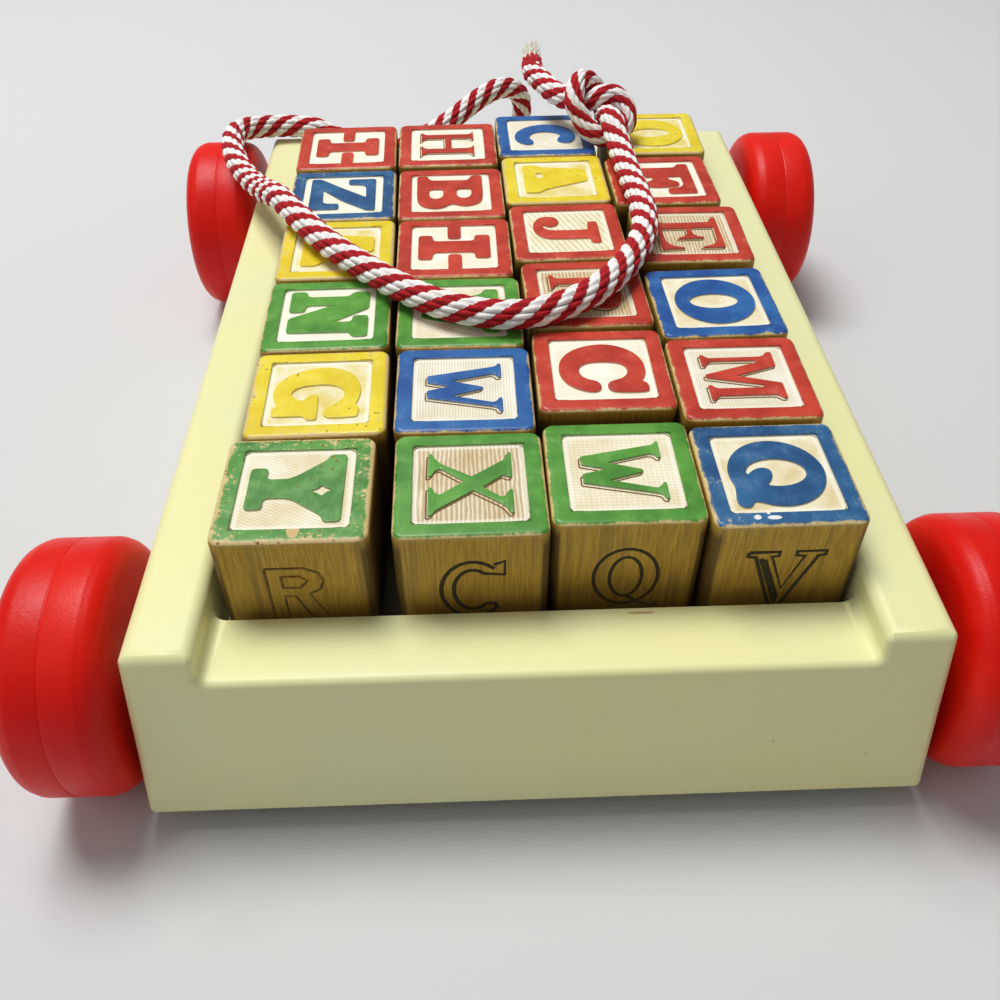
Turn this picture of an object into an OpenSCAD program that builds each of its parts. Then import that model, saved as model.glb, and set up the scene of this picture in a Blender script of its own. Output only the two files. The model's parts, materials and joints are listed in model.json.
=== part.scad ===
// Pull wagon for alphabet blocks: a moulded tray on four wheels, with 24 wooden blocks and a pull rope.
// The wheels stand on z = 0, the tray runs along Y, and the rope leaves the far (+Y) end of the tray.
// The origin lies on the ground under the middle of the tray.

/* [Blocks] */
// Side of one wooden block
block_side = 31.75; // [26:0.25:40]
// Depth of the pressed ground inside a block's painted frame
relief_depth = 0.5; // [0.2:0.1:1.2]
// Width of the painted frame round a block's top
frame_width = 4.2; // [2.5:0.1:6]
// Bare ground left between the frame and the letter
letter_margin = 1.6; // [1:0.1:4]
// Width of a letter's strokes
stroke_width = 4.4; // [2:0.1:5]
// Edge worn off a block
block_wear = 0.8; // [0.3:0.1:2]

/* [Tray] */
// Free space across the four columns of blocks
play_across = 8.5; // [8:0.5:20]
// Free space along the six rows of blocks
play_along = 15; // [14:0.5:30]
// Wall thickness of the moulding
wall = 2.2; // [1.6:0.1:3]
// Width of each side rail at its top, from the well to the outside
rail_width = 14.25; // [12:0.25:24]
// Width of each end lip at the rail's height, from the well to the outside
lip_width = 15.25; // [14:0.25:26]
// Height of the moulding from its bottom edge to the rail's top
body_height = 45.5; // [40:0.5:50]
// Depth of the block well below the rail's top
well_depth = 18.75; // [14:0.25:24]
// How far the end lips lie below the rails
lip_drop = 7.5; // [5:0.5:10]
// Draft angle of the long sides
side_draft = 4.2; // [0:0.1:6]
// Draft angle of the ends
end_draft = 8.1; // [0:0.1:10]
// Rounding of the rail's outer top edges
rail_round = 3; // [1:0.5:5]
// Rounding of the rail's inner top edges
inner_round = 2.5; // [1:0.5:4]
// Rounding of the lip's outer edge
lip_round = 1.8; // [0.5:0.1:3]
// Corner radius of the well
well_corner = 3.5; // [1:0.5:6]
// Hollow rounding where the rails rise from the lips
foot_round = 2; // [0.5:0.5:3]
// Thickness of the cross ribs under the floor
rib_width = 2; // [1.2:0.2:4]
// Depth of the cross ribs under the floor
rib_depth = 14; // [6:1:20]
// Distance from each axle to the cross rib inside it
rib_offset = 8; // [6:1:14]

/* [Wheels and axles] */
// Wheel diameter
wheel_diameter = 56.2; // [50:1:70]
// Wheel width
wheel_width = 22.5; // [20:0.5:34]
// Width of the flat tread
tread_width = 14.4; // [10:0.1:18]
// Step from the tread down to the shoulder
tread_step = 0.3; // [0.2:0.1:1]
// Rounding of the wheel's shoulders
shoulder_round = 4; // [3:0.1:7]
// Width of the groove at the wheel's parting line
seam_width = 0.6; // [0.3:0.1:1]
// Wall thickness of the hollow wheels
wheel_wall = 2; // [1.5:0.1:3]
// Outer diameter of the tube through a wheel
hub_diameter = 13; // [11:0.5:18]
// Diameter of the recess in a wheel's outer face
recess_diameter = 30; // [24:1:36]
// Depth of the recess in a wheel's outer face
recess_depth = 2.5; // [1:0.5:4]
// Gap between the tray's bottom edge and a wheel
wheel_gap = 1; // [1:0.1:4]
// Axle diameter
axle_diameter = 4.8; // [3:0.1:7]
// Radial running clearance of a wheel on its axle
running_clearance = 0.08; // [0.05:0.01:0.1]
// Radial clearance of an axle in the tray
seat_clearance = 0.03; // [0.02:0.01:0.08]
// Gap between an axle and the underside of the floor
axle_headroom = 1.05; // [0.4:0.05:3]
// Distance from the tray's bottom end edge to the axle
axle_inset = 24.5; // [22:0.5:40]
// Outer diameter of the axle bosses on the tray
boss_diameter = 12; // [10:0.5:16]
// Length of an axle boss inside the tray
boss_length = 12; // [6:1:14]
// Side play of a wheel between its boss and its cap
side_play = 0.5; // [0.3:0.1:1.5]
// Diameter of an axle cap
cap_diameter = 11; // [9:0.5:14]
// Height of an axle cap
cap_height = 5; // [4:0.5:8]

/* [Rope] */
// Diameter of the braided rope
rope_diameter = 7.5; // [5:0.5:8]
// Width of the rope hole's gap round the rope
rope_hole_gap = 0.6; // [0.3:0.1:2]
// Share of the rope's diameter that is left where the knot squeezes it
knot_squeeze = 0.7; // [0.5:0.02:0.7]
// Diameter of the stopper knot behind the tray's far wall
stopper_diameter = 17; // [14:0.5:20]
// Length of the frayed rope end
fray_length = 14; // [8:1:20]

/* [Hidden] */
$fn = 48;
eps = 0.01;

// How the blocks stand in the well, from the near row to the far one, left to right: the share of
// the free space that lies to the left of the block, the share in front of it, and its turn in degrees.
BLOCKS = [
    [["Y", "green",  0.30, 0.14, 0],   ["X", "green", 0.80, 0.16, 0.5],
     ["W", "green",  0.85, 0.32, 0],   ["Q", "blue",  0.90, 0.20, 0.5]],
    [["G", "yellow", 0.50, 0.18, 1],   ["W", "blue",  0.70, 0.20, 0.5],
     ["C", "red",    0.82, 0.62, 0],   ["M", "red",   0.90, 0.32, 0]],
    [["N", "green",  0.40, 0.24, 1],   ["V", "green", 0.60, 0.24, 0],
     ["P", "red",    0.75, 0.74, 1.5], ["O", "blue",  0.88, 0.38, 1.5]],
    [["A", "yellow", 0.35, 0.32, 1],   ["I", "red",   0.45, 0.30, 0.5],
     ["J", "red",    0.53, 0.82, 1.5], ["E", "red",   0.88, 0.64, -0.5]],
    [["Z", "blue",   0.25, 0.36, 1.5], ["B", "red",   0.35, 0.36, 1],
     ["A", "yellow", 0.40, 0.89, 1],   ["F", "red",   0.54, 0.78, 1]],
    [["I", "red",    0.12, 0.48, 1.5], ["H", "red",   0.22, 0.54, 1],
     ["C", "blue",   0.28, 0.95, 1],   ["O", "yellow", 0.75, 0.94, -0.5]]
];
terminal_swell = 1.12;
letter_slim = 0.8;
serif_share = 0.45;
rows = len(BLOCKS);
columns = len(BLOCKS[0]);

// Heights, from the ground up
wheel_radius = wheel_diameter / 2;
axle_z = wheel_radius;
floor_under_z = axle_z + axle_diameter / 2 + axle_headroom;
floor_z = floor_under_z + wall;
rail_z = floor_z + well_depth;
lip_z = rail_z - lip_drop;
bottom_z = rail_z - body_height;

// The well and the tray's outline; each outline is given by its half width at the rail's top
well_half_x = (columns * block_side + play_across) / 2;
well_half_y = (rows * block_side + play_along) / 2;
outer_half_x = well_half_x + rail_width;
outer_half_y = well_half_y + lip_width;
function side_x(z) = outer_half_x + (rail_z - z) * tan(side_draft);
function end_y(z) = outer_half_y + (rail_z - z) * tan(end_draft);

// Wheels and axles
cap_grip = 0.6;
axle_y = end_y(bottom_z) - axle_inset;
wheel_inner_x = side_x(bottom_z) + wheel_gap;
wheel_outer_x = wheel_inner_x + wheel_width;
boss_x = wheel_inner_x - side_play;
hub_face_x = wheel_outer_x - recess_depth;
cap_x = hub_face_x + side_play;
axle_half = cap_x + cap_grip * cap_height;
wheel_bore = axle_diameter / 2 + running_clearance;
seat_bore = axle_diameter / 2 + seat_clearance;
rib_y = axle_y - rib_offset;

// The rope's hole in the far wall, in the plane along the tray
rope_hole = [5, 30];
stopper_gap = 0.3;
rope_inner_y = end_y(rope_hole[1] + stopper_diameter / 2) - wall / cos(end_draft) - stopper_gap;

// The rope's route: out of the hole in the far wall, up and over the far lip to the left, over
// the far left wheel and the rail, and in a wide bow over the blocks to the knot on the far rows
ROPE_ROUTE = [
    [5, 125, 30], [5.4, 132.8, 30.6], [6.6, 140, 33.4], [8.2, 145.4, 38.6], [9.6, 148.4, 45],
    [10, 149.4, 50.6], [8.4, 148, 55.4], [4.4, 144.6, 58.6], [-1, 140, 59.6], [-7.4, 134.6, 58.2],
    [-14, 129, 55.6], [-23.5, 121.4, 52.2], [-36, 114.4, 49.4], [-46.5, 112.4, 49.8], [-56.5, 113.4, 53],
    [-66, 115.4, 56.4], [-75, 116.6, 57], [-82.8, 115.2, 57.6], [-88.8, 110, 59.2], [-91.8, 102, 60.7],
    [-91.2, 92, 61], [-88, 80.5, 60.6], [-82.6, 68.4, 60.8], [-75.4, 53.6, 63.8], [-67.6, 37.4, 69],
    [-59.5, 22.4, 70], [-50.5, 8.6, 69.8], [-41, -3, 69.7], [-30, -14.6, 69.7], [-20, -22.8, 69.7],
    [-10, -27.4, 69.7], [0, -28.6, 69.7], [10, -25.4, 69.7], [19.6, -18.4, 69.7], [27.6, -8.4, 69.7],
    [33.4, 2.6, 69.7], [37, 14, 69.7], [38, 27, 69.7], [37.3, 43, 69.7], [36, 61.5, 71]
];

// The overhand knot: in over the near band, down through the two loops, round the left one, under
// the rope, round the right loop, and out to the left
KNOT_ROUTE = [
    [34.5, 74, 75], [33.5, 79.5, 74.3], [33.2, 84, 72.5], [33.5, 88.5, 72.5], [32.5, 91.8, 75.5],
    [30, 92.3, 79.3], [26.5, 90, 81.8], [24, 86, 80.9], [23.2, 82, 77.5], [25, 79.7, 74],
    [27.5, 77.5, 70.7], [31.5, 76, 68.8], [36.2, 76.5, 68.8], [40, 79, 71.6], [40, 82.5, 75.5],
    [36.8, 85, 78.3], [32.5, 85.5, 78.3], [28.2, 86.5, 76], [24.5, 89.5, 75]
];
TAIL_ROUTE = [[18.5, 96, 75], [14.8, 105, 75.3], [12, 114.5, 75], [12, 124, 75]];

// The whole line of rope, knot and tail, and where the knot starts and ends in it
knot_line = spline(KNOT_ROUTE, 2);
cord_line = concat([[rope_hole[0], rope_inner_y, rope_hole[1]]], ROPE_ROUTE, knot_line, TAIL_ROUTE);
knot_first = 1 + len(ROPE_ROUTE);
knot_last = knot_first + len(knot_line) - 1;
cord_sides = 10;
fray_taper = 0.6;

function block_name(row, col) = str("block_row", row + 1, "_col", col + 1);

// A moulding's outline with drafted sides and rounded top edges; half_width is measured at z_top
module drafted_outline(half_width, draft, z_bottom, z_top, radius) {
    spread = (z_top - z_bottom) * tan(draft);
    centre_x = half_width + radius * tan(draft) - radius / cos(draft);
    side_at = [centre_x + radius * cos(draft), z_top - radius + radius * sin(draft)];
    polygon([[-half_width - spread, z_bottom], [half_width + spread, z_bottom], side_at,
             [centre_x, z_top], [-centre_x, z_top], [-side_at[0], side_at[1]]]);
    for (side = [-1, 1]) translate([side * centre_x, z_top - radius]) circle(radius);
}

// An outline across the tray, drawn out along it
module along_tray(length) {
    rotate([90, 0, 0]) linear_extrude(height = length, center = true) children();
}

// An outline along the tray, drawn out across it
module across_tray(width) {
    rotate([90, 0, 90]) linear_extrude(height = width, center = true) children();
}

// The tray's outer block, set in by a wall's thickness for the hollow below
module tray_block(inset, z_bottom) {
    z_top = rail_z - inset;
    radius = max(rail_round - inset, 0.5);
    intersection() {
        along_tray(4 * outer_half_y)
            drafted_outline(side_x(z_top) - inset / cos(side_draft), side_draft, z_bottom, z_top, radius);
        across_tray(4 * outer_half_x)
            drafted_outline(end_y(z_top) - inset / cos(end_draft), end_draft, z_bottom, z_top, radius);
    }
}

// The open channel between the rails, down to the lips, with rounded rail edges and hollow feet
module channel_outline() {
    above = 1;
    difference() {
        union() {
            translate([-well_half_x, lip_z + foot_round])
                square([2 * well_half_x, lip_drop - foot_round + above]);
            translate([-well_half_x + foot_round, lip_z])
                square([2 * (well_half_x - foot_round), foot_round + eps]);
            translate([-well_half_x - inner_round, rail_z - inner_round])
                square([2 * (well_half_x + inner_round), inner_round + above]);
            for (side = [-1, 1])
                translate([side * (well_half_x - foot_round), lip_z + foot_round]) circle(foot_round);
        }
        for (side = [-1, 1])
            translate([side * (well_half_x + inner_round), rail_z - inner_round]) circle(inner_round);
    }
}

// The pocket that holds the blocks
module well() {
    translate([0, 0, floor_z]) linear_extrude(lip_z + foot_round + eps - floor_z) {
        square([2 * well_half_x, 2 * (well_half_y - well_corner)], center = true);
        square([2 * (well_half_x - well_corner), 2 * well_half_y], center = true);
        for (x = [-1, 1], y = [-1, 1])
            translate([x * (well_half_x - well_corner), y * (well_half_y - well_corner)])
                circle(well_corner);
    }
}

// The sliver that rounds a lip's outer edge
module lip_edge() {
    edge_y = end_y(lip_z);
    centre_y = edge_y + lip_round * tan(end_draft) - lip_round / cos(end_draft);
    side_at = [centre_y + lip_round * cos(end_draft), lip_z - lip_round + lip_round * sin(end_draft)];
    across_tray(2 * (well_half_x - foot_round)) difference() {
        polygon([[centre_y, lip_z - eps], [centre_y, lip_z + 1], [edge_y + 1, lip_z + 1],
                 [side_at[0] + 1, side_at[1]], [side_at[0] - eps, side_at[1]]]);
        translate([centre_y, lip_z - lip_round]) circle(lip_round);
    }
}

// The hollow under the moulding: everything inside the walls, except the well and the lips
module underside() {
    keep_x = well_half_x + wall;
    difference() {
        tray_block(wall, bottom_z - 1);
        translate([-keep_x, -well_half_y - wall, floor_under_z])
            cube([2 * keep_x, 2 * (well_half_y + wall), body_height]);
        translate([-keep_x, -2 * outer_half_y, lip_z - wall])
            cube([2 * keep_x, 4 * outer_half_y, body_height]);
    }
}

module axle_boss(side) {
    boss_inner_x = side_x(axle_z) - wall - boss_length;
    translate([side * boss_inner_x, 0, axle_z]) rotate([0, side * 90, 0])
        cylinder(d = boss_diameter, h = boss_x - boss_inner_x);
}

module cross_ribs() {
    intersection() {
        tray_block(wall / 2, bottom_z);
        for (side = [-1, 1])
            translate([-2 * outer_half_x, side * rib_y - rib_width / 2, floor_under_z - rib_depth])
                cube([4 * outer_half_x, rib_width, rib_depth + wall / 2]);
    }
}

module tray() {
    hole_radius = rope_diameter / 2 + rope_hole_gap;
    color("cornsilk") difference() {
        union() {
            difference() {
                tray_block(0, bottom_z);
                along_tray(4 * outer_half_y) channel_outline();
                well();
                lip_edge();
                mirror([0, 1, 0]) lip_edge();
                underside();
            }
            cross_ribs();
            for (end = [-1, 1], side = [-1, 1]) translate([0, end * axle_y, 0]) axle_boss(side);
        }
        for (end = [-1, 1])
            translate([0, end * axle_y, axle_z]) rotate([0, 90, 0])
                cylinder(r = seat_bore, h = 4 * outer_half_x, center = true);
        translate([rope_hole[0], well_half_y + wall + eps, rope_hole[1]]) rotate([-90, 0, 0])
            cylinder(r = hole_radius, h = 2 * lip_width + body_height);
    }
}

module axle(end) {
    color("silver") translate([0, end * axle_y, axle_z]) rotate([0, 90, 0])
        cylinder(d = axle_diameter, h = 2 * axle_half, center = true);
}

// Half section of a wheel, radius along X and width along Y, set in by a wall's thickness for its hollow
module wheel_outline(inset) {
    half = wheel_width / 2 - inset;
    round_off = max(shoulder_round - inset, 0.5);
    shoulder_r = wheel_radius - tread_step - inset;
    difference() {
        union() {
            translate([0, -half]) square([shoulder_r - round_off, 2 * half]);
            translate([0, -half + round_off]) square([shoulder_r, 2 * (half - round_off)]);
            translate([0, -tread_width / 2]) square([wheel_radius - inset, tread_width]);
            for (side = [-1, 1])
                translate([shoulder_r - round_off, side * (half - round_off)]) circle(round_off);
        }
        translate([-eps, half - recess_depth]) square([recess_diameter / 2 + inset, wheel_width]);
    }
}

module wheel(side, end) {
    color("red") translate([side * (wheel_inner_x + wheel_width / 2), end * axle_y, axle_z])
        rotate([0, side * 90, 0]) rotate_extrude($fn = 96) difference() {
            wheel_outline(0);
            translate([-1, -wheel_width]) square([wheel_bore + 1, 2 * wheel_width]);
            translate([wheel_radius - seam_width / 2, -seam_width / 2]) square([1, seam_width]);
            intersection() {
                wheel_outline(wheel_wall);
                translate([hub_diameter / 2, -wheel_width]) square([wheel_radius, 2 * wheel_width]);
            }
        }
}

// A domed cap pressed on an axle's end
module axle_cap(side, end) {
    dome = (pow(cap_diameter / 2, 2) + pow(cap_height, 2)) / cap_height / 2 + 1;
    color("silver") translate([side * cap_x, end * axle_y, axle_z]) rotate([0, side * 90, 0])
        difference() {
            intersection() {
                cylinder(d = cap_diameter, h = cap_height);
                translate([0, 0, cap_height - dome]) sphere(dome);
            }
            translate([0, 0, -1]) cylinder(r = seat_bore, h = axle_half - cap_x + 1);
        }
}

// Letters, drawn upright about the origin on a square of the given size with round-ended strokes
module stroke(from, to, width) {
    run = to - from;
    translate(from) rotate(atan2(run[1], run[0])) translate([0, -width / 2]) square([norm(run), width]);
    for (end = [from, to]) translate(end) circle(d = width * terminal_swell, $fn = 24);
}

module strokes(points, width) {
    for (i = [0:len(points) - 2]) stroke(points[i], points[i + 1], width);
}

module bowl(centre, radius, width) {
    translate(centre) difference() {
        circle(radius + width / 2);
        circle(radius - width / 2);
    }
}

module letter(name, size, width) {
    h = (size - width) / 2;
    s = letter_slim * h;
    serif = serif_share * h;
    if (name == "A") {
        strokes([[-s, -h], [0, h], [s, -h]], width);
        stroke([-s * 0.5, -h * 0.3], [s * 0.5, -h * 0.3], width * 0.8);
    }
    if (name == "B" || name == "P") {
        strokes([[-s, -h], [-s, h], [s * 0.3, h]], width);
        stroke([-s, 0], [s * 0.3, 0], width);
        if (name == "B") stroke([-s, -h], [s * 0.3, -h], width);
        for (y = name == "B" ? [-h / 2, h / 2] : [h / 2]) intersection() {
            bowl([s * 0.3, y], h / 2, width);
            translate([s * 0.3, y - h]) square([size, 2 * h]);
        }
    }
    if (name == "C" || name == "G") difference() {
        bowl([0, 0], h, width);
        polygon([[0, 0], [size, -size * 0.75], [size, size * 0.75]]);
    }
    if (name == "G") strokes([[h * 0.25, -h * 0.1], [h * 0.8, -h * 0.1], [h * 0.8, -h * 0.6]], width);
    if (name == "E") {
        strokes([[s, -h], [-s, -h], [-s, h], [s, h]], width);
        stroke([-s, 0], [s * 0.6, 0], width);
    }
    if (name == "F") {
        strokes([[-s, -h], [-s, h], [s, h]], width);
        stroke([-s, 0], [s * 0.6, 0], width);
        stroke([-s - serif / 2, -h], [-s + serif, -h], width);
    }
    if (name == "H") {
        for (x = [-s, s]) stroke([x, -h], [x, h], width);
        stroke([-s, 0], [s, 0], width);
    }
    if (name == "I") {
        stroke([0, -h], [0, h], width * 1.2);
        for (y = [-h, h]) stroke([-s, y], [s, y], width);
    }
    if (name == "J") {
        stroke([s * 0.4, -h * 0.4], [s * 0.4, h], width);
        stroke([-s * 0.3, h], [s, h], width);
        intersection() {
            bowl([-h * 0.1, -h * 0.45], h * 0.5, width);
            translate([-size, -size - h * 0.4]) square([2 * size, size]);
        }
    }
    if (name == "M") strokes([[-h, -h], [-s, h], [0, -h * 0.4], [s, h], [h, -h]], width);
    if (name == "N") strokes([[-s, -h], [-s, h], [s, -h], [s, h]], width);
    if (name == "O" || name == "Q") bowl([0, 0], h, width);
    if (name == "Q") stroke([h * 0.1, -h * 0.3], [h * 0.8, -h], width);
    if (name == "V") strokes([[-s, h], [0, -h], [s, h]], width);
    if (name == "W") strokes([[-h, h], [-h * 0.5, -h], [0, h * 0.4], [h * 0.5, -h], [h, h]], width);
    if (name == "X") {
        stroke([-s, -h], [s, h], width);
        stroke([-s, h], [s, -h], width);
        for (y = [-h, h], x = [-s, s]) stroke([x - serif / 2, y], [x + serif / 2, y], width);
    }
    if (name == "Y") {
        strokes([[-s, h], [0, 0], [s, h]], width);
        stroke([0, 0], [0, -h], width);
        stroke([-serif, -h], [serif, -h], width);
    }
    if (name == "Z") strokes([[-s, h], [s, h], [-s, -h], [s, -h]], width);
}

// The outline of a block with its edges worn off, drawn out to a bar
module worn_bar() {
    a = block_side / 2;
    b = a - block_wear;
    linear_extrude(block_side, center = true)
        polygon([[-b, -a], [b, -a], [a, -b], [a, b], [b, a], [-b, a], [-a, b], [-a, -b]]);
}

// One block in its place: letter's top to the right, ground pressed in round frame and letter
module block(row, col) {
    spec = BLOCKS[row][col];
    x = (col + 0.5) * block_side + spec[2] * play_across - well_half_x;
    y = (row + 0.5) * block_side + spec[3] * play_along - well_half_y;
    ground = block_side - 2 * frame_width;
    color(spec[1]) translate([x, y, floor_z + block_side / 2]) rotate(spec[4]) difference() {
        intersection() {
            worn_bar();
            rotate([90, 0, 0]) worn_bar();
            rotate([0, 90, 0]) worn_bar();
        }
        translate([0, 0, block_side / 2 - relief_depth]) linear_extrude(1) difference() {
            square(ground, center = true);
            rotate(-90) letter(spec[0], ground - 2 * letter_margin, stroke_width);
        }
    }
}

// A smooth line through hand-set points
function spline_at(a, b, c, d, t) =
    0.5 * (2 * b + (c - a) * t + (2 * a - 5 * b + 4 * c - d) * t * t + (3 * b - a - 3 * c + d) * t * t * t);
function spline(points, steps) = let (last = len(points) - 1) concat(
    [for (i = [0:last - 1], k = [0:steps - 1]) let (
        before = i > 0 ? points[i - 1] : 2 * points[0] - points[1],
        after = i < last - 1 ? points[i + 2] : 2 * points[last] - points[last - 1])
        spline_at(before, points[i], points[i + 1], after, k / steps)],
    [points[last]]);

// Directions along a line, and side directions that don't twist about it
function unit(v) = v / norm(v);
function directions(points) = let (last = len(points) - 1)
    [for (i = [0:last]) unit(points[min(i + 1, last)] - points[max(i - 1, 0)])];
function across(side, along) = unit(side - (side * along) * along);

// A tube of triangles swept along the cord's line, from one of its points to another
module cord_piece(first, last, radius) {
    along = directions(cord_line);
    start = across(abs(along[first][2]) < 0.9 ? [0, 0, 1] : [1, 0, 0], along[first]);
    turned = [for (i = first, side = start; i <= last;
        i = i + 1, side = across(side, along[min(i, last)])) side];
    rings = [for (i = [0:last - first], k = [0:cord_sides - 1])
        let (angle = 360 * k / cord_sides, side = turned[i], other = cross(along[first + i], side))
        cord_line[first + i] + radius * (cos(angle) * side + sin(angle) * other)];
    function at(i, k) = i * cord_sides + k % cord_sides;
    walls = [for (i = [0:last - first - 1], k = [0:cord_sides - 1], half = [0, 1])
        half == 0 ? [at(i, k), at(i + 1, k + 1), at(i, k + 1)] : [at(i, k), at(i + 1, k), at(i + 1, k + 1)]];
    near_end = [for (k = [1:cord_sides - 2]) [at(0, 0), at(0, k), at(0, k + 1)]];
    far_end = [for (k = [1:cord_sides - 2]) let (i = last - first) [at(i, 0), at(i, k + 1), at(i, k)]];
    color("indianred") polyhedron(points = rings, faces = concat(walls, near_end, far_end));
}

module pull_rope() {
    cord_piece(0, knot_first, rope_diameter / 2);
}

module rope_knot() {
    cord_piece(knot_first, knot_last, knot_squeeze * rope_diameter / 2);
}

module rope_tail() {
    cord_piece(knot_last, len(cord_line) - 1, rope_diameter / 2);
}

module rope_fray() {
    color("white") translate(TAIL_ROUTE[len(TAIL_ROUTE) - 1]) rotate([-90, 0, 0])
        cylinder(d1 = rope_diameter, d2 = fray_taper * rope_diameter, h = fray_length);
}

module stopper_knot() {
    color("indianred") translate([rope_hole[0], rope_inner_y, rope_hole[1]]) rotate([90, 0, 0])
        rotate_extrude() intersection() {
            circle(d = stopper_diameter);
            square(stopper_diameter);
        }
}

tray();
axle(-1);  // front_axle
axle(1);  // rear_axle
wheel(-1, -1);  // front_left_wheel
wheel(1, -1);  // front_right_wheel
wheel(-1, 1);  // rear_left_wheel
wheel(1, 1);  // rear_right_wheel
axle_cap(-1, -1);  // front_left_cap
axle_cap(1, -1);  // front_right_cap
axle_cap(-1, 1);  // rear_left_cap
axle_cap(1, 1);  // rear_right_cap
for (row = [0:rows - 1], col = [0:columns - 1])
    block(row, col);
pull_rope();
rope_knot();
rope_tail();
rope_fray();
stopper_knot();
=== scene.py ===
import json
import math
import random

import bmesh
import bpy
import numpy as np
from mathutils import Matrix, Vector

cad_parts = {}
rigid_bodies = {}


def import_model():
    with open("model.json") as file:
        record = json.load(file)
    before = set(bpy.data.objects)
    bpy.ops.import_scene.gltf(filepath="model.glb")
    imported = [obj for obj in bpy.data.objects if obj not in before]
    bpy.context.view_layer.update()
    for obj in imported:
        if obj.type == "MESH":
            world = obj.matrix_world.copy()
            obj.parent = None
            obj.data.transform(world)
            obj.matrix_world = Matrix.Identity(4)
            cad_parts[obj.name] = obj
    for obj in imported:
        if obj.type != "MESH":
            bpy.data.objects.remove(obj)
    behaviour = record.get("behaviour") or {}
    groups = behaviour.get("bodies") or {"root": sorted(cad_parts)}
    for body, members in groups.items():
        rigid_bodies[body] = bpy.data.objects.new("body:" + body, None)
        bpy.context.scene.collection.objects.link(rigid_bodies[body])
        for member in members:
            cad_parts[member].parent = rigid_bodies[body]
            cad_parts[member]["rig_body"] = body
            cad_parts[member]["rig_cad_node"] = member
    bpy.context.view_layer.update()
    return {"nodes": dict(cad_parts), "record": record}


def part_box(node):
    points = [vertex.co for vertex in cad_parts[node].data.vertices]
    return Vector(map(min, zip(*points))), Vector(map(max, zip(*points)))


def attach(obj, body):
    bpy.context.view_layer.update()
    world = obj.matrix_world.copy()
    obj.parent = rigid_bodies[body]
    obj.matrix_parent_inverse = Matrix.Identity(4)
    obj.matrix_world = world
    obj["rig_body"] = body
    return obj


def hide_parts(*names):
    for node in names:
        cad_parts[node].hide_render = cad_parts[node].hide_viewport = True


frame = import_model()
mm = 0.001
bodyOfNode = {node: body for body, nodes in frame["record"]["behaviour"]["bodies"].items() for node in nodes}
print("frame loaded:", len(frame["nodes"]), "nodes")


# working in object and edit mode
def objectMode():
    bpy.ops.object.mode_set(mode="OBJECT")


def deselectAll():
    if bpy.context.object and bpy.context.object.mode != "OBJECT":
        objectMode()
    bpy.ops.object.select_all(action="DESELECT")


def activate(piece, *others):
    deselectAll()
    for one in (piece, *others):
        one.select_set(True)
    bpy.context.view_layer.objects.active = piece


def editMode(piece, elements="FACE", action="DESELECT"):
    activate(piece)
    bpy.ops.object.mode_set(mode="EDIT")
    bpy.ops.mesh.select_mode(type=elements)
    bpy.ops.mesh.select_all(action=action)


def faceOutward(piece, merge=0):  # turns all faces outward, after merging the points closer than this
    editMode(piece, action="SELECT")
    if merge:
        bpy.ops.mesh.remove_doubles(threshold=merge * mm)
    bpy.ops.mesh.normals_make_consistent(inside=False)
    objectMode()


def centreOf(element):
    corners = getattr(element, "verts", [element])
    return sum((corner.co for corner in corners), Vector()) / len(corners)


def pick(piece, elements, test):  # selects the faces, edges or verts that pass the test
    bpy.ops.mesh.select_mode(type=elements[:-1].upper())
    shape = bmesh.from_edit_mesh(piece.data)
    bpy.ops.mesh.select_all(action="DESELECT")
    for element in getattr(shape, elements):
        if test(centreOf(element), element):
            element.select_set(True)
    shape.select_flush_mode()
    bmesh.update_edit_mesh(piece.data)


def applyModifier(piece, kind, **settings):
    activate(piece)
    modifier = piece.modifiers.new(kind.title(), kind)
    for key, value in settings.items():
        setattr(modifier, key, value)
    bpy.ops.object.modifier_apply(modifier=modifier.name)


def cutAway(piece, cutter):
    applyModifier(piece, "BOOLEAN", operation="DIFFERENCE", object=cutter, solver="EXACT")
    activate(cutter)
    bpy.ops.object.delete()


def smoothShade(piece, angle=35):
    activate(piece)
    bpy.ops.object.shade_smooth_by_angle(angle=math.radians(angle))


def primitive(kind, **settings):
    deselectAll()
    getattr(bpy.ops.mesh, f"primitive_{kind}_add")(**settings)
    return bpy.context.object


def applyPlace(piece):
    activate(piece)
    bpy.ops.object.transform_apply(location=True, rotation=True, scale=True)


def addObject(name, data):
    piece = bpy.data.objects.new(name, data)
    bpy.context.scene.collection.objects.link(piece)
    return piece


def newCurve(name, dimensions, thick, rounds=0):
    curve = bpy.data.curves.new(name, "CURVE")
    curve.dimensions, curve.bevel_depth, curve.bevel_resolution = dimensions, thick * mm, rounds
    return curve


def addLine(curve, points):
    spline = curve.splines.new("POLY")
    spline.points.add(len(points) - 1)
    for point, spot in zip(spline.points, points):
        point.co = (*spot, 1)
    return spline


def curveToMesh(name, curve):
    activate(addObject(name, curve))
    bpy.ops.object.convert(target="MESH")
    return bpy.context.object


def finishPiece(piece, name, finish, slotName, *nodes):
    piece.name = name
    piece.data.name = name
    if finish:
        piece.data.materials.clear()
        piece.data.materials.append(finish)
    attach(piece, bodyOfNode[nodes[0]])
    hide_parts(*nodes)
    return piece


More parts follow.
